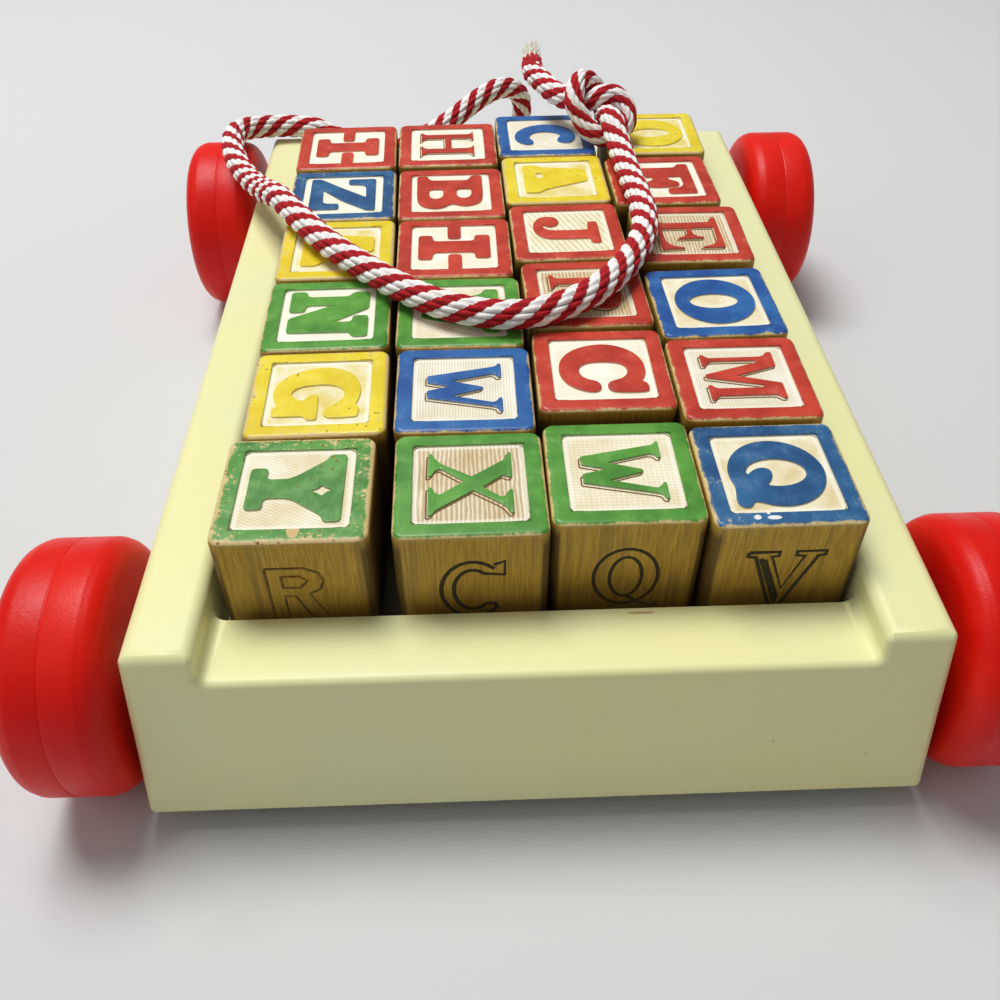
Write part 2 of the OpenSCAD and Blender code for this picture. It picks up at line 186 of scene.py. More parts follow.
# camera at the photograph's place
photoCamera = {"place": (-0.01205, -0.23461, 0.20353), "lens": 35.3, "sensor": 36, "clip": (0.01, 20),
               "right": (0.99933, -0.03643, -0.0029), "down": (-0.02726, -0.69034, -0.72297)}
lensData = bpy.data.cameras.new("photoCamera")
lensData.lens, lensData.sensor_width = photoCamera["lens"], photoCamera["sensor"]
lensData.clip_start, lensData.clip_end = photoCamera["clip"]
camera = addObject("photoCamera", lensData)
rightWay = Vector(photoCamera["right"]).normalized()
upWay = -Vector(photoCamera["down"]).normalized()
turn = Matrix((rightWay, upWay, rightWay.cross(upWay))).transposed()
camera.matrix_world = Matrix.Translation(photoCamera["place"]) @ turn.to_4x4()
bpy.context.scene.camera = camera


# shader maths: a Signal is a socket or a number with ordinary arithmetic
class Signal:
    def __init__(self, paint, value):
        self.paint, self.value = paint, value

    def maths(self, operation, *others):
        node = self.paint.tree.nodes.new("ShaderNodeMath")
        node.operation = operation
        for index, part in enumerate((self, *others)):
            self.paint.feed(node.inputs[index], part)
        return Signal(self.paint, node.outputs[0])

    def __rsub__(self, other):
        return Signal(self.paint, other).maths("SUBTRACT", self)

    def __neg__(self):
        return self.maths("MULTIPLY", -1)

    def tint(self, share, colour):  # the colour laid over this one
        return self.paint.mix(share, self, colour)

    def ramp(self, low, high):  # 0 below low, 1 above high, soft between
        node = self.paint.tree.nodes.new("ShaderNodeMapRange")
        node.interpolation_type = "SMOOTHSTEP"
        self.paint.feed(node.inputs[0], self)
        node.inputs[1].default_value, node.inputs[2].default_value = low, high
        return Signal(self.paint, node.outputs[0])


operations = {"__add__": "ADD", "__radd__": "ADD", "__sub__": "SUBTRACT", "__mul__": "MULTIPLY",
              "__rmul__": "MULTIPLY", "__truediv__": "DIVIDE", "power": "POWER", "size": "ABSOLUTE",
              "fraction": "FRACT", "whole": "FLOOR", "atLeast": "MAXIMUM", "above": "GREATER_THAN"}
for method, operation in operations.items():
    setattr(Signal, method, lambda self, *others, kind=operation: self.maths(kind, *others))


class Paint:
    def __init__(self, name, **constants):
        self.material = bpy.data.materials.new(name)
        self.material.use_nodes = True
        self.tree = self.material.node_tree
        self.shader, self.places = self.tree.nodes["Principled BSDF"], {}
        for key, value in constants.items():
            self.shader.inputs[key.replace("_", " ")].default_value = value

    def feed(self, socket, value):  # a signal, a number, a vector or a colour of 0 to 255
        if isinstance(value, Signal):
            value = value.value
        if isinstance(value, bpy.types.NodeSocket):
            self.tree.links.new(value, socket)
        else:
            socket.default_value = fromPhoto(*value) if socket.type == "RGBA" else value

    def node(self, kind, output=0, inputs=(), **settings):
        node = self.tree.nodes.new("ShaderNode" + kind)
        for key, value in settings.items():
            setattr(node, key, value)
        for key, value in dict(inputs).items():
            self.feed(node.inputs[key], value)
        return Signal(self, node.outputs[output])

    def place(self, stretch=(1, 1, 1), turn=(0, 0, 0)):  # object coordinates in millimetres
        if (stretch, turn) not in self.places:
            self.places[stretch, turn] = self.node("Mapping", 0, {
                "Vector": self.node("TexCoord", "Object"), "Scale": [s / mm for s in stretch],
                "Rotation": [math.radians(t) for t in turn]})
        return self.places[stretch, turn]

    def onBlock(self):  # x, y and z from a block's middle in millimetres
        return self.parts(self.node("Attribute", "Vector", attribute_name="blockPlace"))

    def parts(self, vector):
        node = self.tree.nodes.new("ShaderNodeSeparateXYZ")
        self.feed(node.inputs[0], vector)
        return [Signal(self, socket) for socket in node.outputs]

    def noise(self, scale, detail=3, roughness=0.55, *stretch, distortion=0, place=None):
        return self.node("TexNoise", 0, {"Vector": place or self.place(*stretch), "Scale": scale,
                                         "Detail": detail, "Roughness": roughness, "Distortion": distortion})

    def spots(self, scale, *stretch):
        return self.node("TexVoronoi", "Distance", {"Vector": self.place(*stretch), "Scale": scale})

    def mix(self, share, first, second):
        node = self.tree.nodes.new("ShaderNodeMix")
        node.data_type = "RGBA"
        for index, value in ((0, share), (6, first), (7, second)):
            self.feed(node.inputs[index], value)
        return Signal(self, node.outputs[2])

    def finish(self, colour=None, roughness=None, height=None, bump=0.3, depth=0.3):
        if colour is not None:
            self.feed(self.shader.inputs["Base Color"], colour)
        if roughness is not None:
            self.feed(self.shader.inputs["Roughness"], roughness)
        if height is not None:
            normal = self.node("Bump", 0, {"Height": height, "Strength": bump, "Distance": depth * mm})
            self.feed(self.shader.inputs["Normal"], normal)
        return self.material


def fromPhoto(*colour):  # the shader's value of a colour as it looks on a screen
    shares = [c / 255 for c in colour]
    return (*(c / 12.92 if c <= 0.04045 else ((c + 0.055) / 1.055) ** 2.4 for c in shares), 1)


def ovalReach(x, y, middle, half):  # 1 on the rim of an oval, less inside it
    return (((x - middle[0]) / half[0]).power(2) + ((y - middle[1]) / half[1]).power(2)).power(0.5)


def swing(noise):  # a noise's swing about its middle
    return noise - 0.5


# rope, knot and tail: the route's points from the CAD, in millimetres
rope = {
    "diameter": 7.5, "knotSqueeze": 0.86, "squeezeOver": 3, "step": 0.6, "sides": 60,
    "columns": 12, "starts": 3, "pitch": 8.5, "slant": 0.75, "grooveRadius": 0.77, "stitchRelief": 0.25,
    "roundAcross": 0.5, "roundAlong": 0.4,
    "wrapReach": 8.5,  # red thread wound round the tail's end
    "start": (5, 117.2, 30),
    "route": [(5, 125, 30), (5.4, 132.8, 30.6), (6.6, 140, 33.4), (8.2, 145.4, 38.6), (9.6, 148.4, 45),
              (10, 149.4, 50.6), (8.4, 148, 55.4), (4.4, 144.6, 58.6), (-1, 140, 59.6), (-7.4, 134.6, 58.2),
              (-14, 129, 55.6), (-23.5, 121.4, 52.2), (-36, 114.4, 49.4), (-46.5, 112.4, 49.8), (-56.5, 113.4, 53),
              (-66, 115.4, 56.4), (-75, 116.6, 57), (-82.8, 115.2, 57.6), (-88.8, 110, 59.2), (-91.8, 102, 60.7),
              (-91.2, 92, 61), (-88, 80.5, 60.6), (-82.6, 68.4, 60.8), (-75.4, 53.6, 63.8), (-67.6, 37.4, 69),
              (-59.5, 22.4, 70), (-50.5, 8.6, 69.8), (-41, -3, 69.7), (-30, -14.6, 69.7), (-20, -22.8, 69.7),
              (-10, -27.4, 69.7), (0, -28.6, 69.7), (10, -25.4, 69.7), (19.6, -18.4, 69.7), (27.6, -8.4, 69.7),
              (33.4, 2.6, 69.7), (37, 14, 69.7), (38, 27, 69.7), (37.3, 43, 69.7), (36, 61.5, 71)],
    "knot": [(34.5, 74, 75), (33.5, 79.5, 74.3), (33.2, 84, 72.5), (33.5, 88.5, 72.5), (32.5, 91.8, 75.5),
             (30, 92.3, 79.3), (26.5, 90, 81.8), (24, 86, 80.9), (23.2, 82, 77.5), (25, 79.7, 74),
             (27.5, 77.5, 70.7), (31.5, 76, 68.8), (36.2, 76.5, 68.8), (40, 79, 71.6), (40, 82.5, 75.5),
             (36.8, 85, 78.3), (32.5, 85.5, 78.3), (28.2, 86.5, 76), (24.5, 89.5, 75)],
    "tail": [(18.5, 96, 75), (14.8, 105, 75.3), (12, 114.5, 75), (12, 124, 75)]}


def smoothLine(points, perSpan=24):
    points = [np.array(p, float) for p in points]
    points = [2 * points[0] - points[1], *points, 2 * points[-1] - points[-2]]
    line = []
    for a, b, c, d in zip(points, points[1:], points[2:], points[3:]):
        for k in range(perSpan):
            t = k / perSpan
            line.append(0.5 * (2 * b + (c - a) * t + (2 * a - 5 * b + 4 * c - d) * t * t
                               + (3 * b - a - 3 * c + d) * t ** 3))
    return np.array(line + [points[-2]])


def evenly(line, step):  # the same line with points an even step apart
    along = np.r_[0, np.cumsum(np.linalg.norm(np.diff(line, axis=0), axis=1))]
    marks = np.linspace(0, along[-1], int(round(along[-1] / step)) + 1)
    return np.stack([np.interp(marks, along, line[:, i]) for i in range(3)], 1), marks


def stitchPhase(whole, across, run):  # how many stitches a place is along its column
    return run + (whole + 0.5 + (across - 0.5) * rope["slant"]) * (rope["starts"] / rope["columns"])


def braidHeight(turns, run):  # relief of the plaited stitches, 0 in the grooves and 1 on top
    column = turns * rope["columns"]
    across = column % 1
    stitch = (2 * stitchPhase(np.floor(column), across, run / rope["pitch"])) % 1
    shares = [np.clip(1 - (2 * part - 1) ** 2, 0, 1) for part in (across, stitch)]
    return shares[0] ** rope["roundAcross"] * shares[1] ** rope["roundAlong"]


def braidedTube(name, line, marks, radii):
    sides, side = rope["sides"], np.array([0, 0, 1.0])
    ahead = np.gradient(line, axis=0)
    ahead /= np.linalg.norm(ahead, axis=1)[:, None]
    verts, turnsAt = [], np.arange(sides) / sides
    angle = 2 * math.pi * turnsAt
    for point, way, mark, radius in zip(line, ahead, marks, radii):
        side = side - (side @ way) * way
        side /= np.linalg.norm(side)
        out = radius * (rope["grooveRadius"] + rope["stitchRelief"] * braidHeight(turnsAt, mark))
        around = np.cos(angle)[:, None] * side + np.sin(angle)[:, None] * np.cross(way, side)
        verts.append(point + out[:, None] * around)
    rings = [[i * sides + k for k in range(sides)] for i in range(len(line))]
    faces = [(after[k], after[(k + 1) % sides], before[(k + 1) % sides], before[k])
             for before, after in zip(rings, rings[1:]) for k in range(sides)] + [rings[0], rings[-1][::-1]]
    data = bpy.data.meshes.new(name)
    data.from_pydata((np.concatenate(verts) * mm).tolist(), [], faces)
    braid = data.uv_layers.new(name="braid")
    for face in data.polygons:
        closing = any(vertex % sides == sides - 1 for vertex in face.vertices)
        for corner, vertex in zip(face.loop_indices, face.vertices):
            ring, k = divmod(vertex, sides)
            braid.data[corner].uv = (1.0 if closing and k == 0 else k / sides, marks[ring] / rope["pitch"])
        face.use_smooth = True
    return addObject(name, data)


def ropePaint():
    paint = Paint("plaitedCord", Roughness=0.9)
    turns, run, _ = paint.parts(paint.node("UVMap", 0, uv_map="braid"))
    column = turns * rope["columns"]
    across = column.fraction()
    phase = stitchPhase(column.whole(), across, run)
    x, y, z = paint.parts(paint.place())
    endX, endY, endZ = rope["tail"][-1]
    fromEnd = ((x - endX).power(2) + (y - endY).power(2) + (z - endZ).power(2)).power(0.5)
    red = phase.fraction().above(0.5).atLeast(1 - fromEnd.above(rope["wrapReach"]))
    fuzz = paint.noise(2.6, 4, 0.7)
    cloud = paint.noise(0.16, 2)
    stitch = (phase * 2).fraction()
    groove = (1 - (across * 2 - 1).size().power(4)) * (1 - (stitch * 2 - 1).size().power(6))
    white = paint.mix(fuzz, (246, 238, 234), (255, 255, 252))
    crimson = paint.mix(fuzz, (138, 2, 12), (200, 12, 30)).tint(cloud.ramp(0.4, 0.7) * 0.3, (210, 22, 30))
    colour = paint.mix(red, white, crimson)
    # painted shade: a darker copy of the colour shows between the stitches, the plain colour on their tops
    shaded = colour.tint(0.4, (110, 20, 22))
    thread = paint.node("CombineXYZ", 0, {"X": column * 6, "Y": phase * 2.2, "Z": 0.0})
    strands = paint.noise(1.0, 3, 0.6, place=thread)
    return paint.finish(shaded.tint(groove.ramp(0.0, 0.5), colour), None,
                        fuzz * 0.5 + strands * 0.9 + groove * 0.3, 0.6, 0.3)


def makeRope():
    points = [rope["start"], *rope["route"], *rope["knot"], *rope["tail"]]
    line, marks = evenly(smoothLine(points), rope["step"])
    full, tight = rope["diameter"] / 2, rope["diameter"] / 2 * rope["knotSqueeze"]
    begin, end = (marks[np.argmin(np.linalg.norm(line - np.array(rope["knot"][i]), axis=1))] for i in (0, -1))
    over = rope["squeezeOver"]
    inside = np.clip((marks - begin + 1) / over, 0, 1) * np.clip((end + 1 - marks) / over, 0, 1)
    piece = braidedTube("pullRope", line, marks, full + (tight - full) * inside)
    return finishPiece(piece, "pullRope", ropePaint(), "braided_cord", "pull_rope", "rope_knot", "rope_tail"), line


# the frayed end's fibres, in millimetres
tuft = {"seed": 4, "fibres": 260, "length": 10.5, "rise": 4.4, "spread": 2.4, "thick": 0.34, "joints": 7,
        "radius": 3, "gather": 0.55, "jitter": 0.7, "root": 1.5, "taper": 0.6, "shortest": 0.5, "rimShorter": 0.3}


def makeFray(end):
    rng = random.Random(tuft["seed"])
    curve = newCurve("frayedEnd", "3D", tuft["thick"])
    for _ in range(tuft["fibres"]):
        angle, reach = rng.uniform(0, 2 * math.pi), rng.uniform(0, 1) ** 0.5
        length = tuft["length"] * rng.uniform(tuft["shortest"], 1) * (1 - tuft["rimShorter"] * reach)
        lean = Vector((rng.uniform(-1, 1), 0, rng.uniform(-1, 1))) * tuft["spread"]
        steps, spots = [k / (tuft["joints"] - 1) for k in range(tuft["joints"])], []
        for t in steps:
            out = tuft["radius"] * reach * (1 - tuft["gather"] * t) + rng.uniform(-tuft["jitter"], tuft["jitter"]) * t
            curl = lean * t * t + Vector((0, 0, tuft["rise"] * t * t * length / tuft["length"]))
            straight = Vector((math.cos(angle) * out, -tuft["root"] + t * length, math.sin(angle) * out))
            spots.append((Vector(end) + straight + curl) * mm)
        for point, t in zip(addLine(curve, spots).points, steps):
            point.radius = 1 - tuft["taper"] * t
    piece = curveToMesh("frayedEnd", curve)
    paint = Paint("frayedCotton", Roughness=0.9)
    finish = paint.finish(paint.mix(paint.noise(1.2, 2), (244, 238, 222), (255, 254, 246)))
    return finishPiece(piece, "frayedEnd", finish, "frayed_cord", "rope_fray")


# the knot that holds the rope inside the far wall: a short coil, in millimetres
stopper = {"middle": (5, 112.2, 30), "points": 40, "turns": 2.2, "radius": 4.6, "squeeze": 0.12, "long": 6.0,
           "thick": 3.0, "step": 0.7, "perSpan": 8}


def makeStopper(finish):
    x, y, z = stopper["middle"]
    radius, last, points = stopper["radius"], stopper["points"] - 1, []
    for k in range(stopper["points"]):
        a = k / last * stopper["turns"] * 2 * math.pi
        points.append((x + radius * math.cos(a) * (1 - stopper["squeeze"] * math.sin(a / 2)),
                       y + stopper["long"] / 2 - stopper["long"] * k / last, z + radius * math.sin(a)))
    line, marks = evenly(smoothLine(points, stopper["perSpan"]), stopper["step"])
    piece = braidedTube("stopperKnot", line, marks, np.full(len(line), stopper["thick"]))
    return finishPiece(piece, "stopperKnot", finish, "braided_cord", "stopper_knot")


ropePiece, ropeLine = makeRope()
frayPiece = makeFray(rope["tail"][-1])
stopperPiece = makeStopper(ropePiece.data.materials[0])
(ropeLine[::4] * mm).tolist() + [(ropeLine[-1] * mm).tolist()]


# tray: the CAD moulding's surface, merged, with its edges softened, in millimetres
tray = {"bottom": 7, "top": 52.5, "sideX": 85.341, "endY": 124.476, "sideSlope": 0.07343, "endSlope": 0.14232,
        "skin": 0.02, "cornerRound": 2.2, "steps": 6, "boxSide": 16, "boxTall": 3.6, "boxX": 84, "boxY": 121,
        "merge": (0.002, 0.01), "flatAngle": 0.3, "scrape": ((21.5, -104.0), (3.0, 0.35)), "scrapeAbove": 44,
        "well": ((66.5, 67.6), (101.5, 102.6), (36, 60), 33)}  # painted shade in the well: its fade in x, y and z, and its floor
notch = {"round": 1.6, "margin": 0.3, "lift": 0.4, "steps": 6, "turn": 9, "lead": 0.1, "lip": 45, "endRound": 3,
         "footX": 65.75, "footZ": 47, "foot": 2, "crestX": 70.25, "crestZ": 50, "crest": 2.5}
corners = [(sideX, sideY) for sideX in (-1, 1) for sideY in (-1, 1)]


def creamPlastic():
    paint = Paint("agedCreamPlasticAndPaintedShade", Specular_IOR_Level=0.4)
    x, y, z = paint.parts(paint.place())
    cloud = paint.noise(0.02, 4)
    mottle = paint.noise(0.14, 5, 0.6)
    speck = paint.spots(0.11, (1, 1.1, 0.9))
    scuff = paint.noise(0.9, 4, 0.7, (0.25, 2.2, 1.4), (0, 0, 28))
    cream = paint.mix(cloud.ramp(0.35, 0.65), (234, 234, 180), (238, 235, 173))
    cream = cream.tint(mottle.ramp(0.5, 0.85) * 0.1, (214, 210, 158))
    cream = cream.tint((1 - speck.ramp(0.02, 0.06)) * mottle.ramp(0.52, 0.62) * 0.5, (150, 128, 84))
    scrape = ovalReach(x, y, *tray["scrape"]) + swing(mottle)
    cream = cream.tint((1 - scrape.ramp(0.8, 1.1)) * z.above(tray["scrapeAbove"]) * 0.6, (150, 104, 62))
    fadeX, fadeY, fadeZ, floor = tray["well"]
    # painted shade: the well's inside under the blocks is darkened to near black, and its roughness raised there
    well = (1 - x.size().ramp(*fadeX)) * (1 - y.size().ramp(*fadeY)) * (1 - z.ramp(*fadeZ)) * z.above(floor)
    roughness = (0.36 + 0.14 * mottle + 0.15 * scuff.ramp(0.6, 0.8)).atLeast(well)
    return paint.finish(cream.tint(well * 0.97, (26, 20, 10)), roughness, mottle * 0.5 + scuff * 0.2, 0.1, 0.4)


def endPlane(z):  # the end's drafted surface at a height
    return tray["endY"] - tray["endSlope"] * (z - tray["bottom"])


def endFace(z):  # the same, with its rounded top edge
    roundness, slope = notch["endRound"], tray["endSlope"]
    heart = tray["top"] - roundness
    if z < heart + roundness * math.sin(math.atan(slope)):
        return endPlane(z)
    rise = min(z - heart, roundness)
    return endPlane(heart) - roundness * math.hypot(1, slope) + math.sqrt(roundness ** 2 - rise ** 2)


def notchPoint(stage, angle, depth):  # x and z of a point at a depth below the notch's surface
    if stage == "lead":
        return notch["footX"] - notch["lead"], notch["lip"] - depth
    reach = notch[stage] + (depth if stage == "foot" else -depth)
    return notch[stage + "X"] + reach * math.cos(angle), notch[stage + "Z"] + reach * math.sin(angle)


def notchRing(stage, angle):  # the cutter's section as x, inward and z, fading out at the top
    heart, margin = tray["top"] - notch["endRound"], notch["margin"]
    above = max(0.0, (notchPoint(stage, angle, 0)[1] - heart) / notch["endRound"])
    fade = math.sqrt(max(0.0, 1 - above ** 2))
    radius, lift = notch["round"] * fade, notch["lift"] * (1 - fade)
    quarter = [k / notch["steps"] * math.pi / 2 for k in range(notch["steps"] + 1)]
    section = [(-margin, -margin), (-margin, radius),
               *((radius * (1 - math.cos(t)), radius * (1 - math.sin(t))) for t in quarter), (radius, -margin)]
    ring = []
    for depth, inward in section:
        x, z = notchPoint(stage, angle, depth - lift)
        ring.append((x, endFace(z) - inward + lift, z))
    return ring


def makeNotchSoftener():  # what is cut off to round the edges of the notches between the posts
    turn = notch["turn"]
    path = ([("lead", 0)] + [("foot", math.radians(-90 + 90 * k / turn)) for k in range(turn + 1)]
            + [("crest", math.radians(180 - 80 * k / turn)) for k in range(turn + 1)])
    shape = bmesh.new()
    for sideX, sideY in corners:
        rings = [[shape.verts.new((sideX * x * mm, sideY * y * mm, z * mm)) for x, y, z in notchRing(*stop)]
                 for stop in path]
        for first, second in zip(rings, rings[1:]):
            for k in range(len(first)):
                following = (k + 1) % len(first)
                shape.faces.new((first[k], first[following], second[following], second[k]))
        shape.faces.new(rings[0])
        shape.faces.new(rings[-1])
    mesh = bpy.data.meshes.new("notchSoftener")
    shape.to_mesh(mesh)
    shape.free()
    softener = addObject("notchSoftener", mesh)
    faceOutward(softener)
    return softener


def makeCornerShaver():  # what is cut off to round the four upright corners
    high, middle = tray["top"] - tray["bottom"], (tray["top"] + tray["bottom"]) / 2 * mm
    envelope = primitive("cube", size=2, location=(0, 0, middle))
    envelope.scale = [(reach + tray["skin"]) * mm for reach in (tray["sideX"], tray["endY"], high / 2)]
    applyPlace(envelope)
    editMode(envelope)
    pick(envelope, "faces", lambda c, f: c.z > middle * 1.3)
    bpy.ops.transform.resize(value=(1 - high * tray["sideSlope"] / tray["sideX"],
                                    1 - high * tray["endSlope"] / tray["endY"], 1))
    pick(envelope, "edges", lambda c, e: c.z > middle * 0.9)
    bpy.ops.mesh.bevel(offset=tray["cornerRound"] * mm, segments=tray["steps"], affect="EDGES")
    objectMode()
    boxes = []
    for sideX, sideY in corners:
        spot = (sideX * tray["boxX"] * mm, sideY * tray["boxY"] * mm, middle)
        boxes.append(primitive("cube", size=tray["boxSide"] * mm, location=spot))
        boxes[-1].scale.z = tray["boxTall"]
    activate(*boxes)
    bpy.ops.object.join()
    shaver = bpy.context.object
    applyPlace(shaver)
    cutAway(shaver, envelope)
    return shaver


def makeTray():
    activate(frame["nodes"]["tray"])
    bpy.ops.object.duplicate()
    piece = bpy.context.object
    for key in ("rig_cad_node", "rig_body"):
        if key in piece:
            del piece[key]
    editMode(piece, action="SELECT")
    bpy.ops.mesh.remove_doubles(threshold=tray["merge"][0] * mm)
    objectMode()
    for cutter in (makeCornerShaver(), makeNotchSoftener()):
        cutAway(piece, cutter)
    editMode(piece, action="SELECT")
    bpy.ops.mesh.remove_doubles(threshold=tray["merge"][1] * mm)
    bpy.ops.mesh.dissolve_limited(angle_limit=math.radians(tray["flatAngle"]))
    objectMode()
    print("tray faces:", len(piece.data.polygons))
    smoothShade(piece)
    applyModifier(piece, "WEIGHTED_NORMAL", keep_sharp=True)
    finishPiece(piece, "creamTray", creamPlastic(), "cream_plastic", "tray")


makeTray()
print("tray made")


# wheels, axles and caps: outlines spun about the axle, offsets from the wheel's middle and radii in millimetres
shoulder = [(11.25, 22.3), (11.15, 23.6), (10.85, 24.8), (10.3, 25.8), (9.5, 26.75), (8.6, 27.4), (7.9, 27.68),
            (7.5, 27.78), (7.1, 27.98), (6.6, 28.08), (6, 28.1), (0.45, 28.1), (0.22, 28.04), (0.1, 27.96)]
wheel = {"middle": 97.5913, "axleY": 99.9756, "axleZ": 28.1, "steps": 96,
         "outline": [(-11.25, 2.5), (-11.25, 6.2), (-10.85, 6.6), (-10.85, 8.6), (-11.25, 9.2),
                     *((-u, r) for u, r in shoulder), *shoulder[::-1],
                     (11.25, 16.2), (11.05, 15.4), (10.55, 15.05), (9.15, 14.8), (8.8, 14.5),
                     (8.75, 14.0), (8.75, 9.6), (9.0, 9.2), (9.45, 9.0), (9.65, 8.6), (9.65, 7.4), (9.45, 7.0),
                     (9.0, 6.8), (8.75, 6.4), (8.75, 2.5)]}
cap = {"steps": 48,
       "outline": [(9.25, 2.44), (9.25, 5.1), (9.4, 5.4), (9.75, 5.5), (10.1, 5.4), (10.25, 5.1), (10.65, 5.0),
                   (11.65, 4.8), (12.65, 4.3), (13.45, 3.4), (13.95, 2.2), (14.17, 1.1), (14.23, 0.4)]}


def spunShape(name, outline, side, end, steps, closed):
    centre = Vector((side * wheel["middle"], end * wheel["axleY"], wheel["axleZ"]))
    spot = [(centre + Vector((side * u, 0, r))) * mm for u, r in outline]
    piece = primitive("plane", size=mm, location=spot[0])
    applyPlace(piece)
    editMode(piece, "VERT", "SELECT")
    bpy.ops.mesh.merge(type="CENTER")
    for before, after in zip(spot, spot[1:]):
        bpy.ops.mesh.extrude_region_move(TRANSFORM_OT_translate={"value": after - before})
    if closed:
        pick(piece, "verts", lambda c, v: any((c - e).length < 0.01 * mm for e in (spot[0], spot[-1])))
        bpy.ops.mesh.edge_face_add()
    bpy.ops.mesh.select_all(action="SELECT")
    bpy.ops.mesh.spin(steps=steps, angle=2 * math.pi, center=centre * mm, axis=(1, 0, 0))
    faceOutward(piece, 0.02)
    piece.name = name
    return piece


def redPlastic():
    paint = Paint("glossyRedPlastic", Specular_IOR_Level=0.24)
    cloud = paint.noise(0.035, 3)
    haze = paint.noise(0.4, 5, 0.65)
    pebble = paint.spots(1.1)
    dimple = paint.noise(1.6, 2)
    scratch = paint.noise(0.6, 3, 0.7, (0.3, 3, 3))
    red = paint.mix(cloud.ramp(0.35, 0.7), (216, 14, 4), (230, 28, 10))
    red = red.tint(haze.ramp(0.55, 0.85) * 0.3, (176, 8, 4)).tint(scratch.ramp(0.68, 0.8) * 0.2, (236, 96, 70))
    return paint.finish(red, 0.34 + 0.14 * haze + 0.15 * scratch.ramp(0.6, 0.8),
                        pebble * 0.5 + dimple * 0.4 + scratch * 0.2, 0.25, 0.25)


def steel(name, colour, roughness):
    paint = Paint(name, Metallic=1.0)
    drawn = paint.noise(2.0, 3, 0.7, (0.2, 3, 3))
    spots = paint.noise(0.7, 4, 0.7).ramp(0.58, 0.74)
    shine = paint.mix(spots * 0.6, colour, (120, 98, 72))
    return paint.finish(shine, roughness + 0.2 * drawn + 0.3 * spots, drawn + spots, 0.15, 0.1)


wheelFinish = redPlastic()
capFinish = steel("platedCap", (205, 203, 196), 0.16)
axleFinish = steel("drawnSteel", (176, 172, 164), 0.3)
turned = (("Wheel", wheel, True, wheelFinish, "red_plastic"), ("Cap", cap, False, capFinish, "cap_steel"))
for end, along in ((-1, "front"), (1, "rear")):
    for side, across in ((-1, "left"), (1, "right")):
        corner = along + "_" + across
        for kind, values, closed, finish, slotName in turned:
            piece = spunShape(corner + kind, values["outline"], side, end, values["steps"], closed)
            smoothShade(piece, 40)
            finishPiece(piece, corner + kind, finish, slotName, f"{corner}_{kind.lower()}")
    axle = frame["nodes"][along + "_axle"]
    axle.data.materials.clear()
    axle.data.materials.append(axleFinish)
print("wheels and axles made")


# blocks
block = {"side": 31.75, "frame": 3.95, "relief": 0.5, "cornerRound": 2.6, "edgeWear": 1.0, "groundCorner": 2.0,
         "letterSink": 0.4, "letterEdge": 0.13, "letterLow": 0.02, "shadeLine": 0.22, "shadeShift": (0.6, -0.38),
         "shadeLow": 0.05, "rimRound": 0.18, "softReach": 9, "closest": 0.03, "paintDepth": 0.66, "groundDepth": 0.4,
         "ink": {"R": 0.32, "C": 0.46, "Q": 0.4, "V": 0.5}, "inkFlat": 0.1, "inkProud": 0.01}


def arc(x, y, acrossRadius, upRadius, first, last, count=14):
    angles = [math.radians(first + (last - first) * k / count) for k in range(count + 1)]
    return [(x + acrossRadius * math.cos(a), y + upRadius * math.sin(a)) for a in angles]


def soft(*points):  # points of a smooth curve: their corners are rounded away
    return [(x, y, block["softReach"]) for x, y in points]


